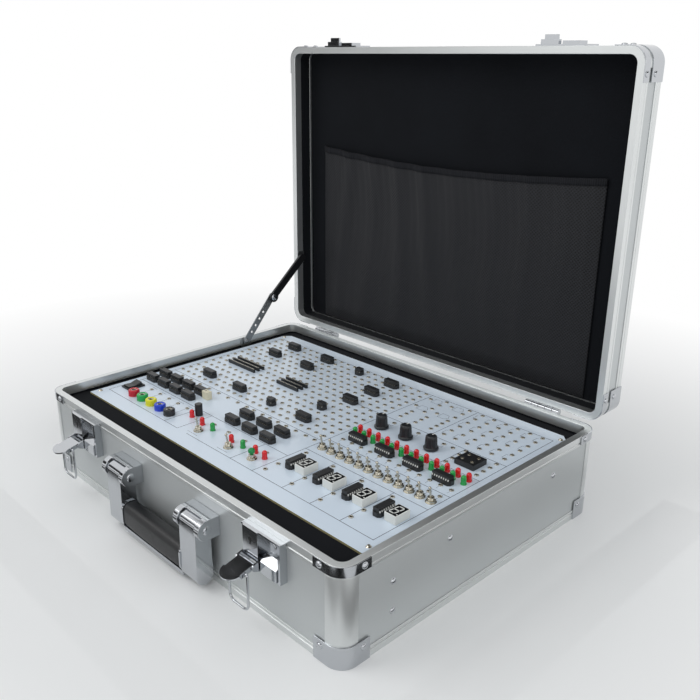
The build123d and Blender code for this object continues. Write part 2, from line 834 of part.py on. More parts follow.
# ---------------------------------------------------------------- lid stay, drawn open
base_pivot = (axis_y - stay_back, axis_z - stay_drop)
lid_pivot_closed = (axis_y - stay_back, axis_z + stay_rise)
lid_pivot_open = (axis_y + stay_rise, axis_z + stay_back)


def elbow(lid_pivot):
    """Find where the stay's two equal arms meet for one place of the lid's pivot."""
    across = lid_pivot[0] - base_pivot[0]
    rise = lid_pivot[1] - base_pivot[1]
    turn = atan2(rise, across) + acos(hypot(across, rise) / 2 / stay_arm)
    return (base_pivot[0] + stay_arm * cos(turn), base_pivot[1] + stay_arm * sin(turn))


def heading(start, end):
    """Give the direction from one pivot to another, in degrees up from +Y."""
    return degrees(atan2(end[1] - start[1], end[0] - start[0]))


elbow_open = elbow(lid_pivot_open)
elbow_closed = elbow(lid_pivot_closed)
lower_turn = heading(base_pivot, elbow_closed) - heading(base_pivot, elbow_open)
upper_turn = heading(elbow_closed, lid_pivot_closed) - heading(elbow_open, lid_pivot_open) - lower_turn
print(f"stay joints: lower pivot {base_pivot}, elbow {elbow_open}")
print(f"stay turns while the lid closes: lower {lower_turn:.4f}, upper {upper_turn:.4f} degrees")

# layers of the stay, measured inwards from the case's left inner face
plate_x = rim_w - case_w / 2
arm_x = plate_x + stay_plate_t + stay_gap
channel_layer_x = arm_x + stay_plate_t + stay_gap
cap_x = channel_layer_x + stay_channel_t


def bar_outline(start, end, height):
    """Draw a round-ended bar between two pivots."""
    middle = ((start[0] + end[0]) / 2, (start[1] + end[1]) / 2)
    with Locations(middle):
        SlotCenterToCenter(stay_arm, height, rotation=heading(start, end))


def along(start, end, share):
    """Give the point at a share of the way from one pivot to another."""
    return (start[0] + share * (end[0] - start[0]), start[1] + share * (end[1] - start[1]))


def bracket(pivot, up, pin_l):
    """Make one stay bracket on the left wall, with its pin; up is 1 on the lid and -1 on the base."""
    with BuildPart() as plate:
        with BuildSketch(side_plane(plate_x)):
            with Locations((pivot[0], pivot[1] + up * (stay_foot_drop / 2 - stay_pin_r / 2))):
                RectangleRounded(stay_foot_w, stay_foot_drop + 3 * stay_pin_r, stay_pin_r)
        extrude(amount=stay_plate_t)
        with BuildSketch(side_plane(plate_x + stay_plate_t)):
            with Locations(pivot):
                Circle(stay_pin_r)
        extrude(amount=pin_l)
    return plate.part


save(bracket(base_pivot, -1, stay_gap + stay_plate_t), "stay_base_bracket")
save(opened(bracket(lid_pivot_closed, 1, stay_gap + stay_plate_t)), "stay_lid_bracket")

with BuildPart() as stay_lower_arm:
    with BuildSketch(side_plane(arm_x)):
        bar_outline(base_pivot, elbow_open, stay_arm_h)
        with Locations(base_pivot):
            Circle(stay_pin_r + stay_pin_clear, mode=Mode.SUBTRACT)
        with Locations(elbow_open):
            Circle(stay_elbow_r + stay_pin_clear, mode=Mode.SUBTRACT)
        with Locations(*[along(base_pivot, elbow_open, share) for share in stay_hole_shares]):
            Circle(stay_hole_r, mode=Mode.SUBTRACT)
    extrude(amount=stay_plate_t)
save(stay_lower_arm.part, "stay_lower_arm")

with BuildPart() as stay_upper_arm:
    with BuildSketch(side_plane(channel_layer_x)):
        bar_outline(elbow_open, lid_pivot_open, stay_arm_h)
    extrude(amount=stay_channel_t)
    with BuildSketch(side_plane(channel_layer_x)):
        with Locations(along(elbow_open, lid_pivot_open, 0.5)):
            well = stay_arm - 2 * stay_arm_h
            Rectangle(well, stay_arm_h - 2 * stay_plate_t, rotation=heading(elbow_open, lid_pivot_open))
    extrude(amount=stay_channel_t - stay_plate_t, mode=Mode.SUBTRACT)
    with BuildSketch(side_plane(arm_x)):
        with Locations(elbow_open):
            Circle(stay_elbow_r)
    extrude(amount=channel_layer_x - arm_x)
    with BuildSketch(side_plane(cap_x)):
        with Locations(elbow_open):
            Circle(stay_cap_r)
    extrude(amount=stay_cap_t)
save(stay_upper_arm.part, "stay_upper_arm")

# ---------------------------------------------------------------- latches
latch_top_z = base_h - latch_top
latch_low_z = latch_top_z - latch_h
plate_y = front_y - plate_t
lever_pivot_y = front_y - lever_pivot_out
lever_axis = Axis((0, lever_pivot_y, lever_pivot_z), (1, 0, 0))
lever_end_y = lever_pivot_y - lever_l
lever_top_z = lever_pivot_z + lever_eye_r
bail_up = lever_eye_r - lever_flange / 2
dip_cos = cos(radians(lever_dip))
dip_sin = sin(radians(lever_dip))
bail_pivot_y = lever_pivot_y - bail_out * dip_cos - bail_up * dip_sin
bail_pivot_z = lever_pivot_z - bail_out * dip_sin + bail_up * dip_cos
outwards = (Align.CENTER, Align.MAX, Align.MAX)


def packed_plate(width, height, plate_top_z):
    """Make a plate on the rim's front face, packed out to the panel below the rim."""
    packing_z = min(plate_top_z, base_h - rim_h)
    packing_h = packing_z - plate_top_z + height
    with BuildPart() as plate:
        with Locations((0, front_y, plate_top_z)):
            Box(width, plate_t, height, align=outwards)
        with Locations((0, front_y, packing_z)):
            Box(width, panel_inset, packing_h, align=(Align.CENTER, Align.MIN, Align.MAX))
    return plate.part


def cross_bar(x, y, z, radius, length, mode=Mode.ADD):
    """Make a round bar along X, or cut its bore."""
    with Locations(Location((x, y, z), (0, 90, 0))):
        Cylinder(radius, length, mode=mode)


def front_pair(one, name):
    """Save one front piece twice over as two nodes, left and right."""
    for side, x in (("left", -latch_x), ("right", latch_x)):
        with BuildPart() as piece:
            with Locations((x, 0, 0)):
                add(one)
        save(piece.part, f"{name}_{side}")


with BuildPart() as latch_base:
    add(packed_plate(latch_w, latch_h, latch_top_z))
    with Locations((-lock_off, plate_y, latch_top_z)):
        Box(lock_w, lock_d, lock_h, align=outwards)
    with Locations((latch_w / 2 - frame_wall / 2, plate_y, latch_top_z)):
        Box(frame_wall, frame_d, latch_h, align=outwards)
    with Locations((0, plate_y, latch_top_z)):
        Box(latch_w, frame_d, lever_t, align=outwards)
    with BuildSketch(side_plane(lock_off - cover_w / 2)):
        with BuildLine():
            Polyline(
                (plate_y, latch_low_z),
                (plate_y - cover_d, latch_low_z + plate_t),
                (plate_y - cover_d, latch_low_z + cover_h * 0.7),
                (plate_y, latch_low_z + cover_h),
                close=True,
            )
        make_face()
    extrude(amount=cover_w)
    lug_x = lever_w / 2 + lug_gap
    for near in (-lock_off - lug_x - lug_t, -lock_off + lug_x):
        with BuildSketch(side_plane(near)):
            with Locations((lever_pivot_y, lever_pivot_z)):
                Circle(lug_r)
            with Locations((plate_y, latch_low_z + 2 * lug_r)):
                Rectangle(lever_t, 4 * lug_r, align=(Align.MAX, Align.CENTER))
            make_hull()
        extrude(amount=lug_t)
    cross_bar(-lock_off, lever_pivot_y, lever_pivot_z, lever_pin_r, 2 * (lug_x + lug_t))
    with Locations(Location((-lock_off, plate_y - lock_d, latch_top_z - lock_h * 0.36), (90, 0, 0))):
        Cylinder(key_r, 2 * key_deep, mode=Mode.SUBTRACT)
    with Locations(Location((lock_off, plate_y, latch_top_z - latch_h / 4), (90, 0, 0))):
        Cylinder(screw_r, screw_h, align=bottom)
with BuildPart() as latch_bases:
    with Locations((-latch_x, 0, 0), (latch_x, 0, 0)):
        add(latch_base.part)
save(latch_bases.part, "latch_bases")

# the lever is drawn level and then dipped about its pivot
with BuildPart() as latch_lever:
    cross_bar(-lock_off, lever_pivot_y, lever_pivot_z, lever_eye_r, lever_w)
    with Locations((-lock_off, lever_pivot_y, lever_top_z)):
        Box(lever_w, lever_l, lever_t, align=outwards)
    for side in (1, -1):
        flange_x = -lock_off + side * (lever_w - lever_t) / 2
        with Locations((flange_x, lever_pivot_y, lever_top_z)):
            Box(lever_t, lever_l, lever_flange, align=outwards)
    wing_face = (0, sin(radians(wing_bend)), cos(radians(wing_bend)))
    with BuildSketch(Plane((-lock_off, lever_end_y, lever_top_z - lever_t), (1, 0, 0), wing_face)):
        Ellipse(wing_w / 2, wing_l)
        Rectangle(wing_w, wing_l, align=(Align.CENTER, Align.MIN), mode=Mode.SUBTRACT)
    extrude(amount=wing_t)
    bore_r = lever_pin_r + lever_pin_clear
    cross_bar(-lock_off, lever_pivot_y, lever_pivot_z, bore_r, lever_w, Mode.SUBTRACT)
    hole_y, hole_z = lever_pivot_y - bail_out, lever_pivot_z + bail_up
    cross_bar(-lock_off, hole_y, hole_z, bail_r + bail_clear, lever_w, Mode.SUBTRACT)
front_pair(latch_lever.part.rotate(lever_axis, lever_dip), "latch_lever")

leg_x = lever_w / 2 + bail_side_gap + bail_r
end_x = lever_w / 2 - lever_t
bail_low_z = bail_pivot_z - bail_l
with BuildPart() as latch_bail:
    with BuildLine(Plane((-lock_off, bail_pivot_y, 0), (1, 0, 0), (0, -1, 0))) as wire:
        FilletPolyline(
            (-end_x, bail_pivot_z),
            (-leg_x, bail_pivot_z),
            (-leg_x, bail_low_z),
            (leg_x, bail_low_z),
            (leg_x, bail_pivot_z),
            (end_x, bail_pivot_z),
            radius=[bail_bend_r, bail_corner_r, bail_corner_r, bail_bend_r],
        )
    with BuildSketch(Plane(wire.line @ 0, (0, 1, 0), wire.line % 0)):
        Circle(bail_r)
    sweep()
front_pair(latch_bail.part, "latch_bail")

# the nose sits just under the closed bail's bar
bar_z = lever_pivot_z + bail_out + bail_l * cos(radians(bail_lean))
nose_top_z = bar_z - bail_r - nose_gap
catch_z = lid_z + catch_up
with BuildPart() as lid_catches:
    with Locations((-latch_x, 0, 0), (latch_x, 0, 0)):
        with Locations((0, front_y, catch_z + catch_h)):
            Box(catch_w, plate_t, catch_h, align=outwards)
        with Locations((-lock_off, plate_y, nose_top_z)):
            Box(nose_w, nose_d, nose_t, align=outwards)
        with Locations((-lock_off, plate_y, nose_top_z)):
            Box(nose_w + 2 * nose_t, nose_d / 2, 2 * nose_t, align=outwards)
        with Locations((lock_off, plate_y, catch_z + keeper_h)):
            Box(keeper_w, keeper_d, keeper_h, align=outwards)
save(opened(lid_catches.part), "lid_catches")

# ---------------------------------------------------------------- carrying handle
handle_y = front_y - handle_out
handle_low_z = handle_pivot_z - handle_drop
cheek_x = arm_w / 2 + bracket_gap

with BuildPart() as handle_bracket:
    add(packed_plate(2 * (cheek_x + cheek_t), 2 * cheek_r, handle_pivot_z + cheek_r))
    for near in (-cheek_x - cheek_t, cheek_x):
        with BuildSketch(side_plane(near)):
            with Locations((handle_y, handle_pivot_z)):
                Circle(cheek_r)
            with Locations((plate_y, handle_pivot_z)):
                Rectangle(plate_t, 2 * cheek_r, align=(Align.MAX, Align.CENTER))
            make_hull()
        extrude(amount=cheek_t)
    with Locations((0, plate_y, handle_pivot_z + cheek_r)):
        Box(2 * cheek_x, handle_out - plate_t, bracket_top_t, align=outwards)
    cross_bar(0, handle_y, handle_pivot_z, handle_pin_r, 2 * cheek_x)
with BuildPart() as handle_brackets:
    with Locations((-handle_x, 0, 0), (handle_x, 0, 0)):
        add(handle_bracket.part)
save(handle_brackets.part, "handle_brackets")

grip_l = 2 * handle_x - arm_w
rail_z = handle_low_z - arm_end_r
grip_z = rail_z + rail_h + grip_h / 2

with BuildPart() as handle_frame:
    for x in (-handle_x, handle_x):
        with BuildSketch(side_plane(x - arm_w / 2)):
            with Locations((handle_y, handle_pivot_z)):
                Circle(eye_r)
            with Locations((handle_y, handle_low_z)):
                Circle(arm_end_r)
            make_hull()
        extrude(amount=arm_w)
        cross_bar(x, handle_y, handle_pivot_z, handle_pin_r + handle_pin_clear, arm_w, Mode.SUBTRACT)
    with Locations((0, handle_y, rail_z)):
        Box(grip_l, rail_d, rail_h, align=bottom)
    for near in (-grip_l / 2, grip_l / 2 - ring_t):
        with BuildSketch(side_plane(near)):
            with Locations((handle_y, grip_z)):
                RectangleRounded(grip_d + 2 * ring_proud, grip_h + 2 * ring_proud, grip_round + ring_proud)
        extrude(amount=ring_t)
save(handle_frame.part, "handle_frame")

with BuildPart() as handle_grip:
    with BuildSketch(side_plane(ring_t - grip_l / 2)):
        with Locations((handle_y, grip_z)):
            RectangleRounded(grip_d, grip_h, grip_round)
    extrude(amount=grip_l - 2 * ring_t)
save(handle_grip.part, "handle_grip")
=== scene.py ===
"""Looks of the digital logic trainer: its finishes, its fine pieces and a plain studio.

Everything is in metres in the part's own frame: +X to the right along the case's front, +Y towards the
hinges, +Z up, with the origin at the centre of the case's underside. Sizes written in millimetres are
multiplied by MM.
"""

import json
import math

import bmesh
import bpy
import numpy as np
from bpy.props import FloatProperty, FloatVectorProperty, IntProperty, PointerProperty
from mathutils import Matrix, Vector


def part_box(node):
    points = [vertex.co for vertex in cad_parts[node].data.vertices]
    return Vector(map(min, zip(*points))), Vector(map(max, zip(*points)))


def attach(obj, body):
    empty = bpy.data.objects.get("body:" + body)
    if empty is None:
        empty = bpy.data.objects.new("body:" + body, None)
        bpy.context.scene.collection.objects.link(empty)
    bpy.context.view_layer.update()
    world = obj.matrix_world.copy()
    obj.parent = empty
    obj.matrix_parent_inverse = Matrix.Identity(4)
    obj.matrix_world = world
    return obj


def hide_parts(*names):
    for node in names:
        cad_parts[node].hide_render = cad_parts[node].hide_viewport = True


bl_info = {
    "name": "Logic Trainer Dresser",
    "version": (1, 0, 0),
    "blender": (4, 5, 0),
    "location": "View3D > Sidebar > Trainer",
    "description": "Finishes a digital logic trainer and its carrying case",
    "category": "Object",
}

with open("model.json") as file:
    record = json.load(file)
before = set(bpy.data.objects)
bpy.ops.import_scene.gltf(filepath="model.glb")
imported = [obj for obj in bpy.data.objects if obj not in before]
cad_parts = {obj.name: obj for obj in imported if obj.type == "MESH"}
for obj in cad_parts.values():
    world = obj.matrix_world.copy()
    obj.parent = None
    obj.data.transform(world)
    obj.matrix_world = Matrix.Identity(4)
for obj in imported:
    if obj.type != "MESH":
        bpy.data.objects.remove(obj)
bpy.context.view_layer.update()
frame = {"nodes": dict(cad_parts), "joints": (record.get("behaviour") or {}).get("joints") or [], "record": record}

MM = 0.001
EDGE_ANGLE = math.radians(32)

# Turns that carry a shape's own +Z to +X, -X, -Y (the case's front), +Y (its back) and -Z.
ALONG_X = np.array([[0, 0, 1], [0, 1, 0], [-1, 0, 0]], float)
AGAINST_X = ALONG_X * [[-1], [1], [-1]]
FACING_FRONT = np.array([[1, 0, 0], [0, 0, -1], [0, 1, 0]], float)
FACING_BACK = FACING_FRONT * [[1], [-1], [-1]]
FACING_DOWN = np.diag([1, -1, -1])


# ------------------------------------------------------------------ colours and nodes
def linear(code):
    """Turn an sRGB hex code into linear red, green and blue."""
    parts = [int(code[i:i + 2], 16) / 255 for i in (1, 3, 5)]
    return tuple(v / 12.92 if v <= 0.04045 else ((v + 0.055) / 1.055) ** 2.4 for v in parts)


def add_node(tree, kind, inputs=None, **settings):
    """Add one shader node with its settings, and set or link its inputs."""
    node = tree.nodes.new(kind)
    for name, value in settings.items():
        setattr(node, name, value)
    for key, value in (inputs or {}).items():
        if isinstance(value, bpy.types.NodeSocket):
            tree.links.new(value, node.inputs[key])
        else:
            node.inputs[key].default_value = value
    return node


def start_material(name, color, metallic=0.0, roughness=0.5, **sockets):
    """Start one material with its shader; sockets are more plain values on the shader."""
    material = bpy.data.materials.new(name)
    material.use_nodes = True
    tree = material.node_tree
    tree.nodes.clear()
    values = {"Base Color": (*color, 1), "Metallic": metallic, "Roughness": roughness}
    values.update({key.replace("_", " "): value for key, value in sockets.items()})
    shader = add_node(tree, "ShaderNodeBsdfPrincipled", values)
    add_node(tree, "ShaderNodeOutputMaterial", {"Surface": shader.outputs[0]})
    return material, tree, shader


def noise(tree, size, detail=2.0, stretch=(1, 1, 1)):
    """Noise whose grains are about size millimetres wide, stretched along the three axes."""
    place = add_node(tree, "ShaderNodeTexCoord").outputs["Object"]
    mapped = add_node(tree, "ShaderNodeMapping", {"Vector": place, "Scale": stretch}).outputs[0]
    scale = 1 / (size * MM)
    return add_node(tree, "ShaderNodeTexNoise", {"Vector": mapped, "Scale": scale, "Detail": detail})


def vary(tree, shader, key, source, low, high):
    """Drive one shader number between low and high by a 0 to 1 pattern."""
    spread = add_node(tree, "ShaderNodeMapRange", {"Value": source, "To Min": low, "To Max": high})
    tree.links.new(spread.outputs[0], shader.inputs[key])


def tint(tree, shader, source, dark, light):
    """Drive the base colour between two colours by a 0 to 1 pattern.

    The mixing node's inputs 6 and 7 are its two colours, and its output 2 is the mixed one.
    """
    inputs = {"Factor": source, 6: (*dark, 1), 7: (*light, 1)}
    mix = add_node(tree, "ShaderNodeMix", inputs, data_type="RGBA")
    tree.links.new(mix.outputs[2], shader.inputs["Base Color"])


def bump(tree, shader, source, height, strength=0.6):
    """Raise the surface by a pattern, height millimetres high."""
    relief = add_node(
        tree, "ShaderNodeBump", {"Height": source, "Strength": strength, "Distance": height * MM}
    )
    tree.links.new(relief.outputs[0], shader.inputs["Normal"])


def shade(color, share):
    """Scale a colour's brightness."""
    return tuple(min(1.0, channel * share) for channel in color)


# ------------------------------------------------------------------ materials
def anodised_aluminium(color):
    """Extruded aluminium, anodised satin: a soft bright edge light and a faint drawn grain."""
    material, tree, shader = start_material("anodised_aluminium", color, 0.92, 0.34)
    grain = noise(tree, 0.7, 3, (0.25, 0.25, 2.0)).outputs[0]
    vary(tree, shader, "Roughness", grain, 0.27, 0.42)
    cloud = noise(tree, 45).outputs[0]
    tint(tree, shader, cloud, shade(color, 0.93), color)
    bump(tree, shader, grain, 0.02, 0.35)
    return material


def laminated_panel(color):
    """Thin aluminium sheet on fibreboard, matt lacquered: an even silver with a fine stipple."""
    material, tree, shader = start_material("laminated_panel", color, 0.72, 0.46)
    stipple = noise(tree, 0.8, 3).outputs[0]
    cloud = noise(tree, 90, 1).outputs[0]
    vary(tree, shader, "Roughness", stipple, 0.40, 0.54)
    tint(tree, shader, cloud, shade(color, 0.94), shade(color, 1.03))
    bump(tree, shader, stipple, 0.03, 0.35)
    return material


def chrome_plate(color):
    """Bright nickel-chrome plating on steel: mirror reflections with slight handling smears."""
    material, tree, shader = start_material("chrome_plate", color, 1.0, 0.09)
    smear = noise(tree, 12, 3).outputs[0]
    vary(tree, shader, "Roughness", smear, 0.05, 0.17)
    return material


def nickel_plate():
    """Dull nickel on brass: a warm grey metal with small bright edges, as on switch bushings."""
    color = linear("#C3BDAE")
    material, tree, shader = start_material("nickel_plate", color, 1.0, 0.25)
    spots = noise(tree, 1.6).outputs[0]
    vary(tree, shader, "Roughness", spots, 0.17, 0.36)
    tint(tree, shader, spots, linear("#A9A290"), linear("#D9D6CC"))
    return material


def zinc_steel():
    """Rolled steel strip with a zinc finish: grey with long fine rolling lines."""
    material, tree, shader = start_material("zinc_steel", linear("#9C9FA1"), 1.0, 0.34)
    lines = noise(tree, 0.6, 2, (1, 0.1, 0.1)).outputs[0]
    vary(tree, shader, "Roughness", lines, 0.26, 0.46)
    return material


def black_enamel():
    """Baked black enamel on steel: deep black with a satin roll-off."""
    material, tree, shader = start_material("black_enamel", linear("#17181A"), 0.0, 0.33)
    peel = noise(tree, 1.5).outputs[0]
    bump(tree, shader, peel, 0.02, 0.4)
    vary(tree, shader, "Roughness", peel, 0.28, 0.42)
    return material


def lining_cloth(color):
    """Black flocked cloth glued on the walls: a soft nap, drawn 0.9 mm coarse so that it shows."""
    material, tree, shader = start_material(
        "lining_cloth", color, 0.0, 0.95, Sheen_Weight=0.03, Specular_IOR_Level=0.12
    )
    nap = noise(tree, 0.9, 4).outputs[0]
    cloud = noise(tree, 60, 3).outputs[0]
    tint(tree, shader, cloud, shade(color, 0.75), shade(color, 1.35))
    bump(tree, shader, nap, 0.25, 0.6)
    return material


def nylon_mesh(color, pitch):
    """Warp-knit nylon net: small holes in staggered rows, dark where the lining shows through."""
    material, tree, shader = start_material(
        "nylon_mesh", color, 0.0, 0.6, Sheen_Weight=0.04, Specular_IOR_Level=0.3
    )
    place = add_node(tree, "ShaderNodeUVMap").outputs[0]
    turned = add_node(tree, "ShaderNodeMapping", {"Vector": place, "Rotation": (0, 0, math.radians(45))})
    cells = add_node(
        tree,
        "ShaderNodeTexVoronoi",
        {"Vector": turned.outputs[0], "Scale": 1 / (pitch * MM), "Randomness": 0.0},
        voronoi_dimensions="2D",
    )
    rim = add_node(
        tree,
        "ShaderNodeMapRange",
        {"Value": cells.outputs["Distance"], "From Min": 0.22, "From Max": 0.5},
    ).outputs[0]
    tint(tree, shader, rim, shade(color, 0.3), shade(color, 1.9))
    bump(tree, shader, rim, 0.3, 0.7)
    return material


def woven_binding(color):
    """Polyester edge tape: close cross ribs 1.1 mm apart."""
    material, tree, shader = start_material("woven_binding", color, 0.0, 0.8, Specular_IOR_Level=0.2)
    place = add_node(tree, "ShaderNodeUVMap").outputs[0]
    ribs = add_node(
        tree,
        "ShaderNodeTexWave",
        {"Vector": place, "Scale": 0.314 / (1.1 * MM) / 2, "Distortion": 0.4},
    ).outputs["Fac"]
    tint(tree, shader, ribs, shade(color, 0.7), shade(color, 1.8))
    bump(tree, shader, ribs, 0.2, 0.7)
    return material


def moulded_grip(color):
    """Moulded PVC grip: black with a leather-like pebble of 1.2 mm and a soft shine."""
    material, tree, shader = start_material("moulded_grip", color, 0.0, 0.38)
    place = add_node(tree, "ShaderNodeTexCoord").outputs["Object"]
    pebbles = add_node(tree, "ShaderNodeTexVoronoi", {"Vector": place, "Scale": 1 / (1.2 * MM)})
    bump(tree, shader, pebbles.outputs["Distance"], 0.12, 0.5)
    vary(tree, shader, "Roughness", pebbles.outputs["Distance"], 0.32, 0.5)
    return material


def board_laminate(face, edge):
    """Glass-epoxy board: a light blue lacquered face, and a khaki fibre core at its cut edge."""
    material, tree, shader = start_material("board_laminate", face, 0.0, 0.3, Coat_Weight=0.25)
    normal = add_node(tree, "ShaderNodeNewGeometry").outputs["Normal"]
    up = add_node(tree, "ShaderNodeSeparateXYZ", {"Vector": normal}).outputs["Z"]
    is_face = add_node(tree, "ShaderNodeMath", {0: up, 1: 0.5}, operation="GREATER_THAN").outputs[0]
    tint(tree, shader, is_face, edge, face)
    weave = noise(tree, 1.4, 2).outputs[0]
    vary(tree, shader, "Roughness", weave, 0.26, 0.36)
    bump(tree, shader, weave, 0.015, 0.3)
    return material


def plain_plastic(name, code, roughness, grain=0.8, height=0.02):
    """Moulded thermoplastic: an even colour with a fine spark-eroded grain and soft shine."""
    color = linear(code)
    material, tree, shader = start_material(name, color, 0.0, roughness)
    skin = noise(tree, grain, 3).outputs[0]
    vary(tree, shader, "Roughness", skin, roughness * 0.85, roughness * 1.2)
    tint(tree, shader, skin, shade(color, 0.93), shade(color, 1.05))
    bump(tree, shader, skin, height, 0.35)
    return material


def led_epoxy(name, code):
    """Tinted clear epoxy: saturated, glossy and a little translucent."""
    color = linear(code)
    material, tree, shader = start_material(
        name, color, 0.0, 0.14, Subsurface_Weight=0.25, Subsurface_Scale=0.002, Coat_Weight=0.4
    )
    swirl = noise(tree, 2.5).outputs[0]
    tint(tree, shader, swirl, shade(color, 0.8), shade(color, 1.15))
    return material


def printed_ink(color):
    """Screen-printed ink: a thin matt film with slightly worn density."""
    material, tree, shader = start_material("printed_ink", color, 0.0, 0.55)
    wear = noise(tree, 1.2, 3).outputs[0]
    tint(tree, shader, wear, color, shade(color, 1.4))
    return material


finishes = {}

# The finish's key, its material's name, colour and roughness; then grain size and height, in mm.
PLASTICS = (
    ("epoxy", "black_epoxy", "#1D1E20", 0.42, 0.6),
    # The near-black finish is painted shade: it stands in for the shade inside holes, bores and recesses.
    ("dark", "painted_shade_bore", "#0B0B0C", 0.7),
    ("module", "black_nylon", "#1A1B1D", 0.36),
    ("white", "white_housing", "#E8EAE6", 0.4),
    ("window", "display_window", "#15171A", 0.16, 2.0, 0.004),
    ("segment", "unlit_segment", "#DADCD8", 0.35),
    ("cream", "cream_block", "#DCD6BC", 0.45),
    ("knob", "knob_phenolic", "#202225", 0.3),
    ("button", "button_green", "#0C8A46", 0.22),
    ("mark", "white_mark", "#E6E6E2", 0.5),
    ("red", "socket_red_nylon", "#C4142C", 0.24),
    ("green", "socket_green_nylon", "#12A651", 0.24),
    ("yellow", "socket_yellow_nylon", "#E4E01C", 0.24),
    ("blue", "socket_blue_nylon", "#1F43CC", 0.24),
    ("black", "socket_black_nylon", "#222427", 0.24),
)


def prepare_finishes(context):
    """Make every finish once, from the colours in the panel."""
    case = context.scene.trainer_case
    board = context.scene.trainer_board
    pocket = context.scene.trainer_pocket
    finishes.update(
        aluminium=anodised_aluminium(case.profile_color),
        panel=laminated_panel(case.panel_color),
        chrome=chrome_plate(case.chrome_color),
        nickel=nickel_plate(),
        zinc=zinc_steel(),
        enamel=black_enamel(),
        lining=lining_cloth(case.lining_color),
        mesh=nylon_mesh(pocket.mesh_color, pocket.mesh_pitch),
        binding=woven_binding(pocket.mesh_color),
        grip=moulded_grip(case.grip_color),
        board=board_laminate(board.face_color, board.edge_color),
        ink=printed_ink(board.print_color),
        sheet_metal=zinc_steel(),
        led_red=led_epoxy("led_red_epoxy", "#E0131C"),
        led_green=led_epoxy("led_green_epoxy", "#14A548"),
    )
    for key, *values in PLASTICS:
        finishes[key] = plain_plastic(*values)


# ------------------------------------------------------------------ reading the frame
def node_points(node):
    """Read a node's vertices as rows of x, y, z."""
    mesh = frame["nodes"][node].data
    points = np.empty(len(mesh.vertices) * 3)
    mesh.vertices.foreach_get("co", points)
    return points.reshape(-1, 3)


def solids(node):
    """Boxes of a node's separate solids, as an array of (low, high) corners.

    Every vertex takes the lowest number among the triangles it shares, until nothing changes.
    """
    mesh = frame["nodes"][node].data
    points = node_points(node)
    _, index = np.unique(np.round(points / 1e-6).astype(int), axis=0, return_inverse=True)
    index = index.ravel()
    corners = np.empty(len(mesh.loops), int)
    mesh.loops.foreach_get("vertex_index", corners)
    triangles = index[corners].reshape(-1, 3)
    label = np.arange(index.max() + 1)
    while True:
        lowest = label[triangles].min(axis=1)
        smaller = label.copy()
        np.minimum.at(smaller, triangles.ravel(), np.repeat(lowest, 3))
        smaller = smaller[smaller]
        if (smaller == label).all():
            break
        label = smaller
    names, group = np.unique(label[index], return_inverse=True)
    low = np.full((len(names), 3), np.inf)
    high = np.full((len(names), 3), -np.inf)
    np.minimum.at(low, group.ravel(), points)
    np.maximum.at(high, group.ravel(), points)
    return np.stack([low, high], axis=1)


def box_of(node):
    """A node's low and high corners, as arrays."""
    return np.array(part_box(node), float)


def feet(node):
    """Points at the middle of each solid's underside."""
    boxes = solids(node)
    places = boxes.mean(axis=1)
    places[:, 2] = boxes[:, 0, 2]
    return places


def pivot(joint):
    """The place of a joint's axis at rest."""
    found = next(entry for entry in frame["joints"] if entry["name"] == joint)
    return np.array(found["pos_m"], float)


def on_body(node):
    """The body that a node belongs to."""
    groups = frame["record"]["behaviour"]["bodies"]
    return next(body for body, members in groups.items() if node in members)


def slot_of(node):
    """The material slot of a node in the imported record."""
    return next(s["material_slot"] for s in frame["record"]["subparts"] if s["node"] == node)


# ------------------------------------------------------------------ shapes
def ring_quads(rings, count):
    """Quads between neighbouring rings of count points each."""
    here = np.arange(count)
    then = (here + 1) % count
    rows = np.arange(rings - 1)[:, None] * count
    quads = np.stack([rows + here, rows + then, rows + count + then, rows + count + here], -1)
    return quads.reshape(-1, 4)


def lathe(profile, segments, ripple=None):
    """Turn a profile of (radius, height) rows round Z: (r cos t, r sin t, z) for each angle t.

    The profile starts under the shape and ends on it, each at radius 0, where the ring is one pole.
    ripple is a factor on the radius for each inner profile row and segment.
    """
    profile = np.array(profile, float)
    rings = profile[1:-1]
    angle = np.arange(segments) * 2 * np.pi / segments
    radius = rings[:, :1] * (np.ones((len(rings), segments)) if ripple is None else ripple)
    height = np.broadcast_to(rings[:, 1:], radius.shape)
    body = np.stack([radius * np.cos(angle), radius * np.sin(angle), height], axis=-1)
    points = np.vstack([body.reshape(-1, 3), [[0, 0, profile[0, 1]], [0, 0, profile[-1, 1]]]])
    here = np.arange(segments)
    then = (here + 1) % segments
    base, tip, last = len(points) - 2, len(points) - 1, (len(rings) - 1) * segments
    foot = np.stack([np.full(segments, base), then, here], -1)
    crown = np.stack([last + here, last + then, np.full(segments, tip)], -1)
    return points, foot.tolist() + ring_quads(len(rings), segments).tolist() + crown.tolist()


def curve(centre, radius, height, steps, start=0.0, end=np.pi / 2):
    """An elliptic arc round a (radius, height) centre, as rows of a profile."""
    angle = np.linspace(start, end, steps)
    return np.column_stack([centre[0] + radius * np.cos(angle), centre[1] + height * np.sin(angle)])


def disc(radius, low, high, segments):
    """A plain round disc between two heights."""
    return lathe([(0, low), (radius, low), (radius, high), (0, high)], segments)


def prism(outline, low, high):
    """Raise a flat outline of (x, y) rows, drawn anticlockwise, from one height to another."""
    outline = np.array(outline, float)
    count = len(outline)
    floor = np.column_stack([outline, np.full(count, low)])
    roof = np.column_stack([outline, np.full(count, high)])
    here = np.arange(count)
    then = (here + 1) % count
    sides = np.stack([here, then, then + count, here + count], -1).tolist()
    return np.vstack([floor, roof]), [here[::-1].tolist()] + sides + [(here + count).tolist()]


def block(low, high):
    """A box between two corners."""
    (x0, y0, z0), (x1, y1, z1) = low, high
    return prism([(x0, y0), (x1, y0), (x1, y1), (x0, y1)], z0, z1)


def small_block(low, high):
    """A box between two corners in millimetres."""
    return block(np.array(low) * MM, np.array(high) * MM)


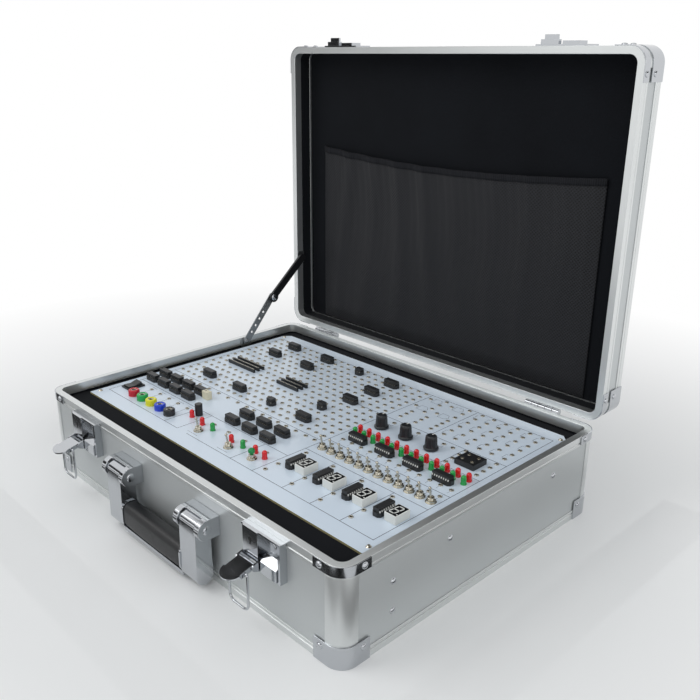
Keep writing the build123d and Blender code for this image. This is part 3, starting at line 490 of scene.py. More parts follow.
def stroke(start, end, width, low, high):
    """A flat bar of one width between two (x, y) points."""
    start, end = np.array(start, float), np.array(end, float)
    along = (end - start) / np.linalg.norm(end - start) * width / 2
    side = np.array([-along[1], along[0]])
    corners = [start - along - side, end + along - side, end + along + side, start - along + side]
    return prism(corners, low, high)


def tube(path, radius, segments=14):
    """Carry a circle along a path of points: path + r (n cos t + b sin t), ends closed.

    n is the path's own plane's normal and b is square to it and to the path.
    """
    path = np.array(path, float)
    run = np.gradient(path, axis=0)
    run /= np.linalg.norm(run, axis=1)[:, None]
    flat = np.linalg.svd(path - path.mean(axis=0))[2][2]
    side = np.cross(run, flat)
    angle = np.arange(segments) * 2 * np.pi / segments
    around = flat * np.cos(angle)[:, None, None] + side * np.sin(angle)[:, None, None]
    points = (path + radius * around).transpose(1, 0, 2).reshape(-1, 3)
    here = np.arange(segments)
    last = (len(path) - 1) * segments
    ends = [here.tolist(), (last + here[::-1]).tolist()]
    return points, ring_quads(len(path), segments)[:, [0, 3, 2, 1]].tolist() + ends


def repeated(shape, places):
    """Repeat one shape at several places, as separate closed shells."""
    points, faces = shape
    places = np.atleast_2d(places)
    cloud = (points[None] + places[:, None]).reshape(-1, 3)
    step = len(points)
    return cloud, [[i + step * n for i in face] for n in range(len(places)) for face in faces]


def moved(shape, place):
    """Set a shape at a place."""
    points, faces = shape
    return points + np.array(place, float), faces


def turned(shape, matrix, place):
    """Turn a shape by a matrix and set it at a place."""
    points, faces = shape
    return points @ np.array(matrix, float).T + np.array(place, float), faces


def tipped(degrees):
    """The matrix of a turn about +X."""
    c, s = math.cos(math.radians(degrees)), math.sin(math.radians(degrees))
    return np.array([[1, 0, 0], [0, c, -s], [0, s, c]])


def joined(*shapes):
    """Put several shapes into one set of points and faces."""
    points, faces, start = [], [], 0
    for cloud, polygons in shapes:
        points.append(cloud)
        faces += [[i + start for i in face] for face in polygons]
        start += len(cloud)
    return np.vstack(points), faces


def rounded(width, height, radius, steps=5):
    """The outline of a rectangle with round corners: centre + r (cos t, sin t) at each corner."""
    angle = np.linspace(0, np.pi / 2, steps + 1)
    arc = np.column_stack([np.cos(angle), np.sin(angle)]) * radius
    reach = np.array([width / 2 - radius, height / 2 - radius])
    corners = []
    for quarter, sign in enumerate(((1, 1), (-1, 1), (-1, -1), (1, -1))):
        c, s = math.cos(quarter * math.pi / 2), math.sin(quarter * math.pi / 2)
        corners.append(arc @ np.array([[c, s], [-s, c]]) + reach * sign)
    return np.vstack(corners)


def link_mesh(name, mesh, sharp_from):
    """Shade a mesh smooth below an angle and link it to the scene as one object."""
    mesh.polygons.foreach_set("use_smooth", np.ones(len(mesh.polygons), bool))
    mesh.set_sharp_from_angle(angle=sharp_from)
    piece = bpy.data.objects.new(name, mesh)
    bpy.context.scene.collection.objects.link(piece)
    return piece


def mesh_object(name, shape, materials, smooth_below=35):
    """Make one mesh object of a shape, smooth below an angle in degrees."""
    points, faces = shape
    mesh = bpy.data.meshes.new(name)
    mesh.from_pydata(points.tolist(), [], faces)
    for material in materials:
        mesh.materials.append(material)
    mesh.update()
    return link_mesh(name, mesh, math.radians(smooth_below))


def fit_piece(piece, body, slot, *replaced):
    """Let a finished piece ride on its body, and hide the nodes it stands for; its slot is not used."""
    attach(piece, body)
    if replaced:
        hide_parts(*replaced)
    return piece


def add_piece(name, shape, finish, body, slot, *replaced, smooth_below=35):
    """Make a piece of one finish and fit it."""
    piece = mesh_object(name, shape, [finishes[finish]], smooth_below)
    return fit_piece(piece, body, slot, *replaced)


def soften_edges(piece, width, segments=2):
    """Round a piece's edges by a live bevel, with normals weighted to its flat faces."""
    bevel = piece.modifiers.new("edge_round", "BEVEL")
    bevel.width = width * MM
    bevel.segments = segments
    bevel.limit_method = "ANGLE"
    bevel.angle_limit = EDGE_ANGLE
    bevel.use_clamp_overlap = True
    piece.modifiers.new("edge_light", "WEIGHTED_NORMAL").keep_sharp = True


def dress_node(node, finish, width, segments=2):
    """Stand a round-edged copy of a node in its place: doubles merged, flat triangles joined."""
    mesh = frame["nodes"][node].data.copy()
    shell = bmesh.new()
    shell.from_mesh(mesh)
    bmesh.ops.remove_doubles(shell, verts=shell.verts, dist=1e-6)
    bmesh.ops.dissolve_limit(shell, angle_limit=math.radians(0.6), verts=shell.verts, edges=shell.edges)
    shell.to_mesh(mesh)
    shell.free()
    mesh.materials.clear()
    mesh.materials.append(finishes[finish])
    piece = link_mesh(f"{node}_finished", mesh, EDGE_ANGLE)
    soften_edges(piece, width, segments)
    fit_piece(piece, on_body(node), slot_of(node), node)


def paint_node(node, finish):
    """Give a node that stays as it is its finish."""
    for entry in frame["nodes"][node].material_slots:
        entry.material = finishes[finish]


# ------------------------------------------------------------------ settings
def number_property(name, value, text, **limits):
    """A number that a user can change."""
    return FloatProperty(name=name, description=text, default=value, **limits)


def size_property(name, value, text):
    """A length in millimetres that a user can change."""
    return number_property(name, value, text, min=0.01)


def angle_property(name, degrees, text):
    """An angle that a user can change."""
    return number_property(name, math.radians(degrees), text, unit="ROTATION")


def color_property(name, code, text):
    """A colour that a user can change, from an sRGB hex code."""
    return FloatVectorProperty(
        name=name, description=text, default=linear(code), size=3, min=0, max=1, subtype="COLOR"
    )


class TrainerCase(bpy.types.PropertyGroup):
    """Finishes of the carrying case."""

    panel_color: color_property("Panels", "#C6CACB", "Silver of the laminated panels")
    profile_color: color_property("Extrusions", "#DDE0E0", "Silver of the anodised extrusions")
    chrome_color: color_property("Chrome", "#BFC2C6", "Colour of the bright plated hardware")
    lining_color: color_property("Lining", "#101216", "Black of the lining cloth")
    grip_color: color_property("Grip", "#17181A", "Black of the handle's grip")
    profile_round: size_property("Extrusion edge", 0.8, "Edge rounding of the extrusions, in mm")
    hardware_round: size_property("Hardware edge", 0.35, "Edge rounding of the plated hardware, in mm")
    rivet_r: size_property("Rivet radius", 3.0, "Radius of the domed rivet heads, in mm")
    grip_swell: size_property("Grip swell", 0.7, "How much the grip swells at its middle, in mm")


class TrainerBoard(bpy.types.PropertyGroup):
    """Finishes and print of the trainer board."""

    face_color: color_property("Face", "#D9E6F3", "Light blue of the board's face")
    edge_color: color_property("Edge", "#A59C72", "Khaki of the board's cut edge")
    print_color: color_property("Print", "#20283A", "Dark ink of the printed lines")
    line_w: size_property("Line width", 0.5, "Width of the printed section lines, in mm")
    thin_w: size_property("Thin line width", 0.3, "Width of the printed symbols' lines, in mm")
    ink_h: size_property("Ink height", 0.05, "Thickness of the print, in mm")
    pin_pitch: size_property("Pin pitch", 2.54, "Distance between circuit pins, in mm")
    thread_pitch: size_property("Thread pitch", 0.6, "Pitch of the bushings' threads, in mm")
    lever_tilt: angle_property("Lever tilt", 10, "Lean of the toggle levers")


class TrainerPocket(bpy.types.PropertyGroup):
    """Shape of the mesh pocket."""

    mesh_color: color_property("Mesh", "#131418", "Black of the knitted net")
    mesh_pitch: size_property("Mesh pitch", 2.6, "Distance between the net's holes, in mm")
    folds: IntProperty(name="Gathers", description="Number of gathers across", default=9, min=2)
    fold_deep: size_property("Gather depth", 5.0, "Depth of the gathers, in mm")
    belly: size_property("Belly", 4.4, "How far the net stands off the lining, in mm")
    sag: size_property("Hem sag", 9.0, "How far the hem sags at its middle, in mm")
    hem_h: size_property("Hem height", 9.0, "Height of the bound hem, in mm")
    thick: size_property("Net thickness", 0.5, "Thickness of the net, in mm")


class TrainerStudio(bpy.types.PropertyGroup):
    """Camera and light."""

    camera_place: FloatVectorProperty(
        name="Camera",
        description="Place of the camera",
        default=(0.579355, -0.510724, 0.434993),
        unit="LENGTH",
    )
    camera_pitch: angle_property("Pitch", 20.082, "Camera's tilt below level")
    camera_heading: angle_property("Heading", 46.728, "Camera's turn from +Y")
    camera_roll: angle_property("Roll", -0.133, "Camera's roll")
    focal_px: number_property("Focal length", 812.3, "In pixels of a 700 pixel frame")
    shift_x_px: number_property("Shift across", 15.415, "In pixels of the frame")
    shift_y_px: number_property("Shift up", 1.131, "In pixels of the frame")
    key_power: number_property("Key light", 17.0, "Power of the key light", unit="POWER")
    fill_power: number_property("Fill light", 8.0, "Power of the fill light", unit="POWER")
    sky: number_property("Sky", 0.62, "Strength of the sky's light")


# ------------------------------------------------------------------ case
class TRAINER_OT_finishes(bpy.types.Operator):
    """Make every finish of the trainer."""

    bl_idname = "trainer.finishes"
    bl_label = "Make finishes"

    def execute(self, context):
        prepare_finishes(context)
        return {"FINISHED"}


class TRAINER_OT_case_shell(bpy.types.Operator):
    """Finish the case's panels, extrusions, corner caps and lining."""

    bl_idname = "trainer.case_shell"
    bl_label = "Case shell"

    def execute(self, context):
        case = context.scene.trainer_case
        for half in ("base", "lid"):
            paint_node(f"{half}_panels", "panel")
            dress_node(f"{half}_profiles", "aluminium", case.profile_round)
            dress_node(f"{half}_corner_caps", "chrome", case.hardware_round)
            paint_node(f"{half}_lining", "lining")
        paint_node("board_fixings", "nickel")
        paint_node("power_supply", "sheet_metal")
        dress_node("mains_inlet", "module", case.hardware_round)
        return {"FINISHED"}


def dome(radius, height):
    """A domed head: a quarter ellipse turned round Z."""
    return lathe(np.vstack([[(0, 0)], curve((0, 0), radius, height, 6)]), 20)


class TRAINER_OT_rivets(bpy.types.Operator):
    """Set domed rivet heads on the corner caps and the side panels."""

    bl_idname = "trainer.rivets"
    bl_label = "Rivets"

    def execute(self, context):
        head = dome(context.scene.trainer_case.rivet_r * MM, 1.5 * MM)
        low, high = box_of("base_profiles")
        lid_low, lid_high = box_of("lid_profiles")
        inset, cap_skin, panel_sink = 23 * MM, 0.9 * MM, 0.8 * MM
        outer_row, rim_row = 14 * MM, 4.5 * MM
        base, lid = [], []
        for z in (outer_row, high[2] - rim_row):
            for x in (low[0] + inset, high[0] - inset):
                for turn, y in ((FACING_FRONT, low[1] - cap_skin), (FACING_BACK, high[1] + cap_skin)):
                    base.append(turned(head, turn, (x, y, z)))
            for y in (low[1] + inset, high[1] - inset):
                for turn, x in ((AGAINST_X, low[0] - cap_skin), (ALONG_X, high[0] + cap_skin)):
                    base.append(turned(head, turn, (x, y, z)))
        for back, z in ((56, 56), (56, 29), (124, 64), (275, 65)):
            for turn, x in ((AGAINST_X, low[0] + panel_sink), (ALONG_X, high[0] - panel_sink)):
                base.append(turned(head, turn, (x, low[1] + back * MM, z * MM)))
        for y in (lid_high[1] - outer_row, lid_low[1] + rim_row):
            for x in (lid_low[0] + inset, lid_high[0] - inset):
                lid.append(moved(head, (x, y, lid_high[2] + cap_skin)))
                lid.append(turned(head, FACING_DOWN, (x, y, lid_low[2] - cap_skin)))
            for z in (lid_low[2] + inset, lid_high[2] - inset):
                for turn, x in ((AGAINST_X, lid_low[0] - cap_skin), (ALONG_X, lid_high[0] + cap_skin)):
                    lid.append(turned(head, turn, (x, y, z)))
        add_piece("base_rivet_heads", joined(*base), "chrome", "base", "chrome")
        add_piece("lid_rivet_heads", joined(*lid), "chrome", "lid", "chrome")
        return {"FINISHED"}


# ------------------------------------------------------------------ hardware
def cross_head(radius):
    """A pan-head screw with a cross recess: a low dome, and two near-black bars sunk in its crown, painted shade
    for the recess.
    """
    bar, width, top = radius * 0.62, radius * 0.2, radius * 0.36
    spans = (((-bar, 0), (bar, 0)), ((0, -bar), (0, bar)))
    bars = joined(*[stroke(start, end, width, top * 0.55, top * 1.02) for start, end in spans])
    return dome(radius, top), bars


def add_screws(name, radius, places, matrix, body, slot):
    """Set cross-head screws at several places, all facing one way."""
    head, bars = cross_head(radius)
    heads = joined(*[turned(head, matrix, place) for place in places])
    # The cross bars take the near-black finish: painted shade in the recess.
    slots = joined(*[turned(bars, matrix, place) for place in places])
    add_piece(f"{name}_screws", heads, "chrome", body, slot)
    add_piece(f"{name}_screw_recess_shade", slots, "dark", body, slot)


class TRAINER_OT_latches(bpy.types.Operator):
    """Finish the two draw latches and their catches."""

    bl_idname = "trainer.latches"
    bl_label = "Latches"

    def execute(self, context):
        edge = context.scene.trainer_case.hardware_round
        dress_node("latch_bases", "chrome", edge)
        dress_node("lid_catches", "chrome", edge)
        # From a lever's axis to the screw of its plate and to its keyhole, in mm.
        to_screw, to_key = np.array([22, 10.3, 20]), np.array([0, 4.2, 19.3])
        screws, keys = [], []
        for side in ("left", "right"):
            dress_node(f"latch_lever_{side}", "chrome", edge)
            self.add_bail(side)
            hinge = pivot(f"latch_lever_{side}")
            screws.append(hinge + to_screw * MM)
            keys.append(hinge + to_key * MM)
        add_screws("latch", 3.0 * MM, screws, FACING_FRONT, "base", "chrome")
        # Each keyhole is a near-black disc and slot set into the plate: painted shade for the hole.
        hole = joined(
            disc(2.3 * MM, -0.2 * MM, 0.25 * MM, 24),
            small_block((-0.75, -4.6, -0.2), (0.75, -1.5, 0.25)),
        )
        holes = joined(*[turned(hole, FACING_FRONT, place) for place in keys])
        add_piece("keyhole_shades", holes, "dark", "base", "chrome")
        return {"FINISHED"}

    def add_bail(self, side):
        """Bend one wire bail along the middle of its node: two legs, round corners and a cross bar."""
        node = f"latch_bail_{side}"
        low, high = box_of(node)
        radius = (high[1] - low[1]) / 2
        left, right = low[0] + radius, high[0] - radius
        foot, top = low[2] + radius, high[2] - radius
        corner, bend, inward = 6 * MM, 1.5 * MM, 4.0 * MM
        middle = (low[1] + high[1]) / 2
        turn = np.linspace(0, np.pi / 2, 7)
        arc = np.column_stack([np.cos(turn), np.sin(turn)])
        half = np.vstack([
            [(left + inward, top)],
            np.array([left + bend, top - bend]) + bend * arc[::-1] * [-1, 1],
            np.array([left + corner, foot + corner]) + corner * arc * [-1, -1],
        ])
        other = half[::-1] * [-1, 1] + [left + right, 0]
        outline = np.vstack([half, other])
        path = np.column_stack([outline[:, 0], np.full(len(outline), middle), outline[:, 1]])
        add_piece(f"{node}_wire", tube(path, radius), "chrome", on_body(node), "chrome", node)


class TRAINER_OT_handle(bpy.types.Operator):
    """Finish the carrying handle, with a moulded grip."""

    bl_idname = "trainer.handle"
    bl_label = "Handle"

    def execute(self, context):
        case = context.scene.trainer_case
        dress_node("handle_brackets", "chrome", case.hardware_round)
        dress_node("handle_frame", "chrome", 1.1, segments=3)
        self.add_grip(case)
        axle = pivot("handle_swing")
        head = dome(4.2 * MM, 1.2 * MM)
        inner_face, outer_face = 43, 81
        caps = []
        for x in (-1, 1):
            for face, side in ((inner_face, -1), (outer_face, 1)):
                matrix = ALONG_X if side * x > 0 else AGAINST_X
                caps.append(turned(head, matrix, (x * face * MM, axle[1], axle[2])))
        add_piece("handle_pin_heads", joined(*caps), "chrome", "base", "chrome")
        return {"FINISHED"}

    def add_grip(self, case):
        """Loft the grip between its end rings.

        At the share s along X, the round-cornered section is scaled by 1 + swell (1 - (2s - 1)^2)
        over its half height, less a small draw-in near each ring.
        """
        low, high = box_of("handle_grip")
        size = high - low
        outline = rounded(size[1], size[2], 7 * MM, 9)
        share = np.linspace(0, 1, 61)
        swell = 1 + case.grip_swell * MM / (size[2] / 2) * (1 - (2 * share - 1) ** 2)
        swell -= 0.06 * np.exp(-share * 60) + 0.06 * np.exp((share - 1) * 60)
        centre = (low + high) / 2
        x = low[0] + share * size[0]
        ring = outline[None] * swell[:, None, None] + centre[1:]
        points = np.concatenate([np.broadcast_to(x[:, None, None], ring.shape[:2] + (1,)), ring], axis=2)
        count = len(outline)
        here = np.arange(count)
        last = (len(share) - 1) * count
        faces = ring_quads(len(share), count).tolist() + [here[::-1].tolist(), (last + here).tolist()]
        shape = (points.reshape(-1, 3), faces)
        add_piece("handle_grip_moulded", shape, "grip", "handle", "grip", "handle_grip")


class TRAINER_OT_hinges_and_stays(bpy.types.Operator):
    """Finish the hinges and the folding lid stay."""

    bl_idname = "trainer.hinges_and_stays"
    bl_label = "Hinges and stays"

    def execute(self, context):
        edge = context.scene.trainer_case.hardware_round
        for node in ("hinge_base_leaves", "hinge_lid_leaves"):
            dress_node(node, "chrome", edge * 0.6)
        for node in ("stay_base_bracket", "stay_lid_bracket", "stay_lower_arm"):
            dress_node(node, "zinc", edge * 0.7)
        dress_node("stay_upper_arm", "enamel", edge)
        hinge_x, leaf_y, leaf_z, gap, screw_r = 165, 175.2 * MM, 78.5 * MM, 14, 2.4 * MM
        spots = [
            (side * (hinge_x + step) * MM, leaf_y, leaf_z) for side in (-1, 1) for step in (-gap, 0, gap)
        ]
        add_screws("hinge_base", screw_r, spots, FACING_BACK, "base", "chrome")
        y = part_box("hinge_lid_leaves")[1][1] - 7 * MM
        z = pivot("lid_hinge")[2] + 2.2 * MM
        spots = [(x, y, z) for x, _, _ in spots]
        add_screws("hinge_lid", screw_r, spots, FACING_DOWN, "lid", "chrome")
        self.add_stay_heads()
        return {"FINISHED"}

    def add_stay_heads(self):
        """Set a domed rivet on the elbow's cap and on the base pivot."""
        elbow_face, foot_face = -215.5 * MM, -220.3 * MM
        cap = turned(dome(4.4 * MM, 1.4 * MM), ALONG_X, (elbow_face, *pivot("stay_elbow")[1:]))
        add_piece("stay_elbow_head", cap, "chrome", "stay_upper", "stay_black")
        foot = turned(dome(3.4 * MM, 1.1 * MM), ALONG_X, (foot_face, *pivot("stay_lower_pivot")[1:]))
        add_piece("stay_foot_head", foot, "zinc", "base", "stay_steel")


# ------------------------------------------------------------------ pocket
class TRAINER_OT_mesh_pocket(bpy.types.Operator):
    """Hang the gathered net pocket on the lid's lining, with its bound hem."""

    bl_idname = "trainer.mesh_pocket"
    bl_label = "Mesh pocket"

    def execute(self, context):
        pocket = context.scene.trainer_pocket
        low, high = box_of("mesh_pocket")
        columns, rows = 288, 96
        u, v = np.meshgrid(np.linspace(0, 1, columns + 1), np.linspace(0, 1, rows + 1))
        stand = self.stand_off(u, v, pocket)
        wide, tall = high[0] - low[0], high[2] - low[2]
        droop = pocket.sag * MM * v * np.sin(np.pi * u)
        x = low[0] + wide * u
        z = low[2] + tall * v - droop
        y = high[1] - pocket.thick * MM - stand * MM
        net = self.grid_piece("mesh_pocket_net", x, y, z, "mesh", pocket.thick)
        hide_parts("mesh_pocket")
        hem_rows = int(pocket.hem_h / tall * MM * rows)
        hem = self.add_binding(*(grid[-hem_rows - 1:] for grid in (x, y, z)))
        stitches = self.add_stitches(*(grid[1 - hem_rows] for grid in (x, y, z)))
        return {"FINISHED"}

    def stand_off(self, u, v, pocket):
        """How far the net stands off the lining, in mm.

        A belly sin(pi u)^0.3 (0.35 + 0.65 sqrt(v)), plus gathers: a cosine of the number of folds
        whose phase wanders with v, sharpened to ridges, each with its own depth.
        """
        belly = pocket.belly * np.clip(np.sin(np.pi * u), 0, 1) ** 0.3 * (0.35 + 0.65 * np.sqrt(v))
        wander = 0.35 * np.sin(5.1 * u + 1.3) * (1 - v) + 0.12 * np.sin(9 * u + 4 * v)
        phase = 2 * np.pi * (pocket.folds * u + wander)
        ridge = (0.5 + 0.5 * np.cos(phase)) ** 1.6
        depth = 0.55 + 0.45 * np.sin(11.3 * u + 0.7) * np.cos(6.1 * u)
        fine = 0.28 * np.sin(2 * np.pi * 37 * u + 3 * np.sin(7 * v)) * v ** 2
        slack = 0.5 * np.sin(2 * np.pi * (2.2 * u - 1.1 * v)) * np.sin(np.pi * v)
        edge = np.clip(np.minimum(u, 1 - u) * 30, 0, 1) * np.clip(v * 14, 0, 1)
        return 0.3 + edge * (belly + pocket.fold_deep * ridge * depth * (0.45 + 0.55 * v) + fine + slack)

    def grid_piece(self, name, x, y, z, finish, thick):
        """Make a cloth piece of grid points, with a UV map in metres, and give it its thickness."""
        rows, columns = x.shape
        points = np.stack([x, y, z], -1).reshape(-1, 3)
        start = np.arange(rows - 1)[:, None] * columns + np.arange(columns - 1)
        quads = np.stack([start, start + 1, start + columns + 1, start + columns], -1).reshape(-1, 4)
        piece = mesh_object(name, (points, quads.tolist()), [finishes[finish]], 80)
        layer = piece.data.uv_layers.new(name="flat_cloth")
        layer.data.foreach_set("uv", points[quads.ravel()][:, [0, 2]].ravel())
        wall = piece.modifiers.new("cloth_thickness", "SOLIDIFY")
        wall.thickness = thick * MM
        wall.offset = 1.0
        fit_piece(piece, "lid", "mesh")
        return piece

    def add_binding(self, x, y, z):
        """Fold the binding over the net's upper rows, a little proud of them."""
        proud, thick = 0.5 * MM, 1.1
        return self.grid_piece("mesh_pocket_hem", x, y - proud, z, "binding", thick)

    def add_stitches(self, x, y, z):
        """Sew one row of short stitches along the hem: small bars that follow the net."""
        proud = 1.15 * MM
        places = np.column_stack([x, y - proud, z])[4:-4:2]
        stitch = small_block((-0.9, -0.2, -0.2), (0.9, 0.2, 0.2))
        return add_piece("mesh_pocket_stitches", repeated(stitch, places), "binding", "lid", "mesh")


# ------------------------------------------------------------------ board
def board_corner():
    """The board's front left corner, on its upper face."""
    low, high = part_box("trainer_board")
    return np.array([low[0], low[1], high[2]])


def on_board(x, y):
    """Turn millimetres from the board's front left corner into a place on its upper face."""
    return board_corner() + np.array([x, y, 0]) * MM


class TRAINER_OT_board(bpy.types.Operator):
    """Finish the board and print its sections and symbols."""

    bl_idname = "trainer.board"
    bl_label = "Board and print"

    def execute(self, context):
        board = context.scene.trainer_board
        dress_node("trainer_board", "board", 0.2)
        low = board_corner()[2]
        bars = []
        for lines, width in ((self.section_lines(), board.line_w), (self.symbol_lines(), board.thin_w)):
            for x0, y0, x1, y1 in lines:
                start, end = on_board(x0, y0)[:2], on_board(x1, y1)[:2]
                bars.append(stroke(start, end, width * MM, low, low + board.ink_h * MM))
        add_piece("board_print", joined(*bars), "ink", "base", "board")
        return {"FINISHED"}

    def section_lines(self):
        """The frame round each section, as x0, y0, x1, y1 in board millimetres."""
        lines = [
            (8, 19, 145, 19), (163, 19, 421, 19), (8, 19, 8, 271), (421, 19, 421, 271), (8, 271, 421, 271),
            (8, 61.5, 268, 61.5), (8, 106, 268, 106), (122, 19, 122, 61.5), (146, 19, 146, 61.5),
            (235, 19, 235, 61.5), (268, 19, 268, 271), (268, 84, 421, 84), (268, 113, 421, 113),
            (268, 154, 421, 154), (229, 194, 421, 194), (330, 194, 330, 271), (374, 154, 374, 194),
        ]
        lines += [(x, 19, x, 84) for x in (310, 346.5, 383)]
        return lines

    def symbol_lines(self):
        """Thin lines of the symbols: leads from sockets, switch channels, gates and part brackets."""
        lines = []
        for i in range(5):
            x = 42 + 17.7 * i
            lines += [(x, 38.5, x, 50), (x - 4.5, 57.5, x + 4.5, 57.5)]
        for i in range(12):
            x = 279 + 12.3 * i
            lines += [(x, 101.5, x, 105), (x, 110.2, x, 111.5), (x, 117, x, 120.5), (x, 150.5, x, 152.5)]
        for x in (273.5, 302.5):
            for y in (237, 261):
                lines += [(x + 4, y - 5, x + 12, y - 5), (x + 4, y + 5, x + 12, y + 5)]
                lines += [(x + 4, y - 5, x + 4, y + 5)]
                lines += [(x + 12, y - 5, x + 15.5, y), (x + 15.5, y, x + 12, y + 5)]
        for i in range(6):
            x = 339 + 14.5 * i
            for y in (210, 235.5, 260.5):
                lines += [(x - 4.6, y - 4, x - 4.6, y + 4), (x - 4.6, y - 4, x - 2.8, y - 4)]
                lines += [(x - 4.6, y + 4, x - 2.8, y + 4)]
        for x in (166, 216):
            lines += [(x - 8, 23.5, x + 8, 23.5), (x - 8, 40, x - 8, 45), (x + 8, 40, x + 8, 45)]
        for x in (286, 318.5, 351):
            lines += [(x - 4, 180.5, x + 4, 180.5)]
            lines += [(side, 180.5, side, 183.5) for side in (x - 4, x + 4)]
        return lines


class TRAINER_OT_eyelets(bpy.types.Operator):
    """Set the eyelet sockets, with rolled metal lips and shallow bores painted near black as shade."""

    bl_idname = "trainer.eyelets"
    bl_label = "Eyelets"

    def execute(self, context):
        places = feet("eyelets")
        profile = np.array([
            (0, 0), (2.2, 0), (2.25, 0.35), (2.1, 0.85), (1.8, 1.0), (1.4, 0.9), (1.2, 0.7),
            (1.18, 0.2), (0, 0.2),
        ])
        segments = 12
        shape = repeated(lathe(profile * MM, segments), places)
        piece = mesh_object("eyelet_lips", shape, [finishes["nickel"], finishes["dark"]], 60)
        rings = len(profile) - 2
        # The bore's inner wall and floor take the near-black finish: painted shade for the deep hole.
        bore_shade_mask = np.zeros(segments * (rings + 1), int)
        bore_shade_mask[-2 * segments:] = 1
        piece.data.polygons.foreach_set("material_index", np.tile(bore_shade_mask, len(places)))
        fit_piece(piece, "base", "nickel", "eyelets")
        return {"FINISHED"}


class TRAINER_OT_leds(bpy.types.Operator):
    """Set the red and green LEDs, with round heads on their flanges."""

    bl_idname = "trainer.leds"
    bl_label = "LEDs"

    def execute(self, context):
        flange = [(0, 0), (2.85, 0), (2.9, 0.15), (2.9, 0.9), (2.75, 1.05), (2.5, 1.1)]
        crown = curve((0, 6.1), 2.5, 2.5, 7)[:-1]
        shape = lathe(np.vstack([flange, crown, [(0, 8.6)]]) * MM, 18)
        for color in ("red", "green"):
            node, look = f"leds_{color}", f"led_{color}"
            add_piece(f"{node}_heads", repeated(shape, feet(node)), look, "base", look, node)
        return {"FINISHED"}


def pin_steps(length, pitch):
    """Places of a row of pins along a length, from its middle; the pitch is in mm."""
    count = int(length / MM // pitch)
    return (np.arange(count) - (count - 1) / 2) * pitch * MM


class TRAINER_OT_circuits(bpy.types.Operator):
    """Finish the integrated circuits with rounded bodies, contact rows and end notches; the notches are near-black
    discs of painted shade.
    """

    bl_idname = "trainer.circuits"
    bl_label = "Circuits"

    def execute(self, context):
        board = context.scene.trainer_board
        dress_node("logic_ics", "epoxy", 0.3)
        # Each notch is a near-black disc: painted shade in the dimple.
        notch = disc(1.1 * MM, -0.3 * MM, 0.06 * MM, 12)
        teeth, tinned, notches = [], [], []
        for low, high in solids("logic_ics"):
            size = high - low
            centre = (low + high) / 2
            along = int(size[1] > size[0])
            length, width = size[along], size[1 - along]
            reach = np.array([0.45, 0.45, 0]) * MM
            reach[1 - along] = 0.75 * MM
            top = low[2] + 4.4 * MM
            is_long = length > 20.5 * MM
            row, rise = (tinned, 1.5 * MM) if is_long else (teeth, 0.35 * MM)
            for side in (-1, 1):
                for step in pin_steps(length, board.pin_pitch):
                    place = np.array(centre)
                    place[along] += step
                    place[1 - along] += side * width * 0.36
                    start, end = (place - reach)[:2], (place + reach)[:2]
                    row.append(block((*start, top - 0.5 * MM), (*end, top + rise)))
            spot = np.array([centre[0], centre[1], high[2]])
            spot[along] -= length / 2 - 2.6 * MM
            notches.append(moved(notch, spot))
        add_piece("ic_contacts", joined(*teeth), "nickel", "base", "ic_black")
        add_piece("ic_tinned_legs", joined(*tinned), "mark", "base", "ic_black")
        add_piece("ic_notch_shades", joined(*notches), "dark", "base", "ic_black")
        self.add_strip_contacts(board)
        return {"FINISHED"}

    def add_strip_contacts(self, board):
        """Set a row of contacts along the top of each pin strip."""
        dress_node("pin_strips", "module", 0.3)
        reach, sink, rise = 0.62 * MM, 0.3 * MM, 0.12 * MM
        contacts = []
        for low, high in solids("pin_strips"):
            y, top = (low[1] + high[1]) / 2, high[2]
            for step in pin_steps(high[0] - low[0], board.pin_pitch):
                x = (low[0] + high[0]) / 2 + step
                start, end = (x - reach, y - reach, top - sink), (x + reach, y + reach, top + rise)
                contacts.append(block(start, end))
        add_piece("strip_contacts", joined(*contacts), "nickel", "base", "module_black")


class TRAINER_OT_displays(bpy.types.Operator):
    """Finish the seven-segment displays: white housings, dark windows and pale unlit segments."""

    bl_idname = "trainer.displays"
    bl_label = "Displays"

    def execute(self, context):
        dress_node("display_housings", "white", 0.35)
        windows, segments = [], []
        for low, high in solids("display_housings"):
            centre = (low + high) / 2
            top = high[2]
            half = (high - low)[:2] / 2 - 0.7 * MM
            window = rounded(2 * half[0], 2 * half[1], 0.5 * MM, 3) + centre[:2]
            windows.append(prism(window, top - 0.2 * MM, top + 0.12 * MM))
            segments += self.digit(centre, top)
        add_piece("display_windows", joined(*windows), "window", "base", "display")
        add_piece("display_segments", joined(*segments), "segment", "base", "display")
        return {"FINISHED"}

    def digit(self, centre, top):
        """Seven six-cornered bars and a point, leaning 8 degrees: x moves by y tan 8."""
        half_w, half_h, bar = 2.9 * MM, 5.6 * MM, 0.62 * MM
        lean = math.tan(math.radians(8))
        flat = [((-half_w, y), (half_w, y)) for y in (-half_h, 0, half_h)]
        upright = [((x, y), (x, y + half_h)) for x in (-half_w, half_w) for y in (-half_h, 0)]
        shapes = []
        for start, end in flat + upright:
            start, end = np.array(start), np.array(end)
            along = (end - start) / np.linalg.norm(end - start)
            side = np.array([-along[1], along[0]]) * bar
            first, last = start + along * bar * 0.35, end - along * bar * 0.35
            inner, outer = first + along * bar, last - along * bar
            outline = np.array([first, inner - side, outer - side, last, outer + side, inner + side])
            outline[:, 0] += outline[:, 1] * lean
            shapes.append(prism(outline + centre[:2] - [0.6 * MM, 0], top + 0.1 * MM, top + 0.2 * MM))
        spot = (centre[0] + 4.6 * MM, centre[1] - half_h, top + 0.1 * MM)
        return shapes + [moved(disc(0.75 * MM, 0, 0.1 * MM, 14), spot)]


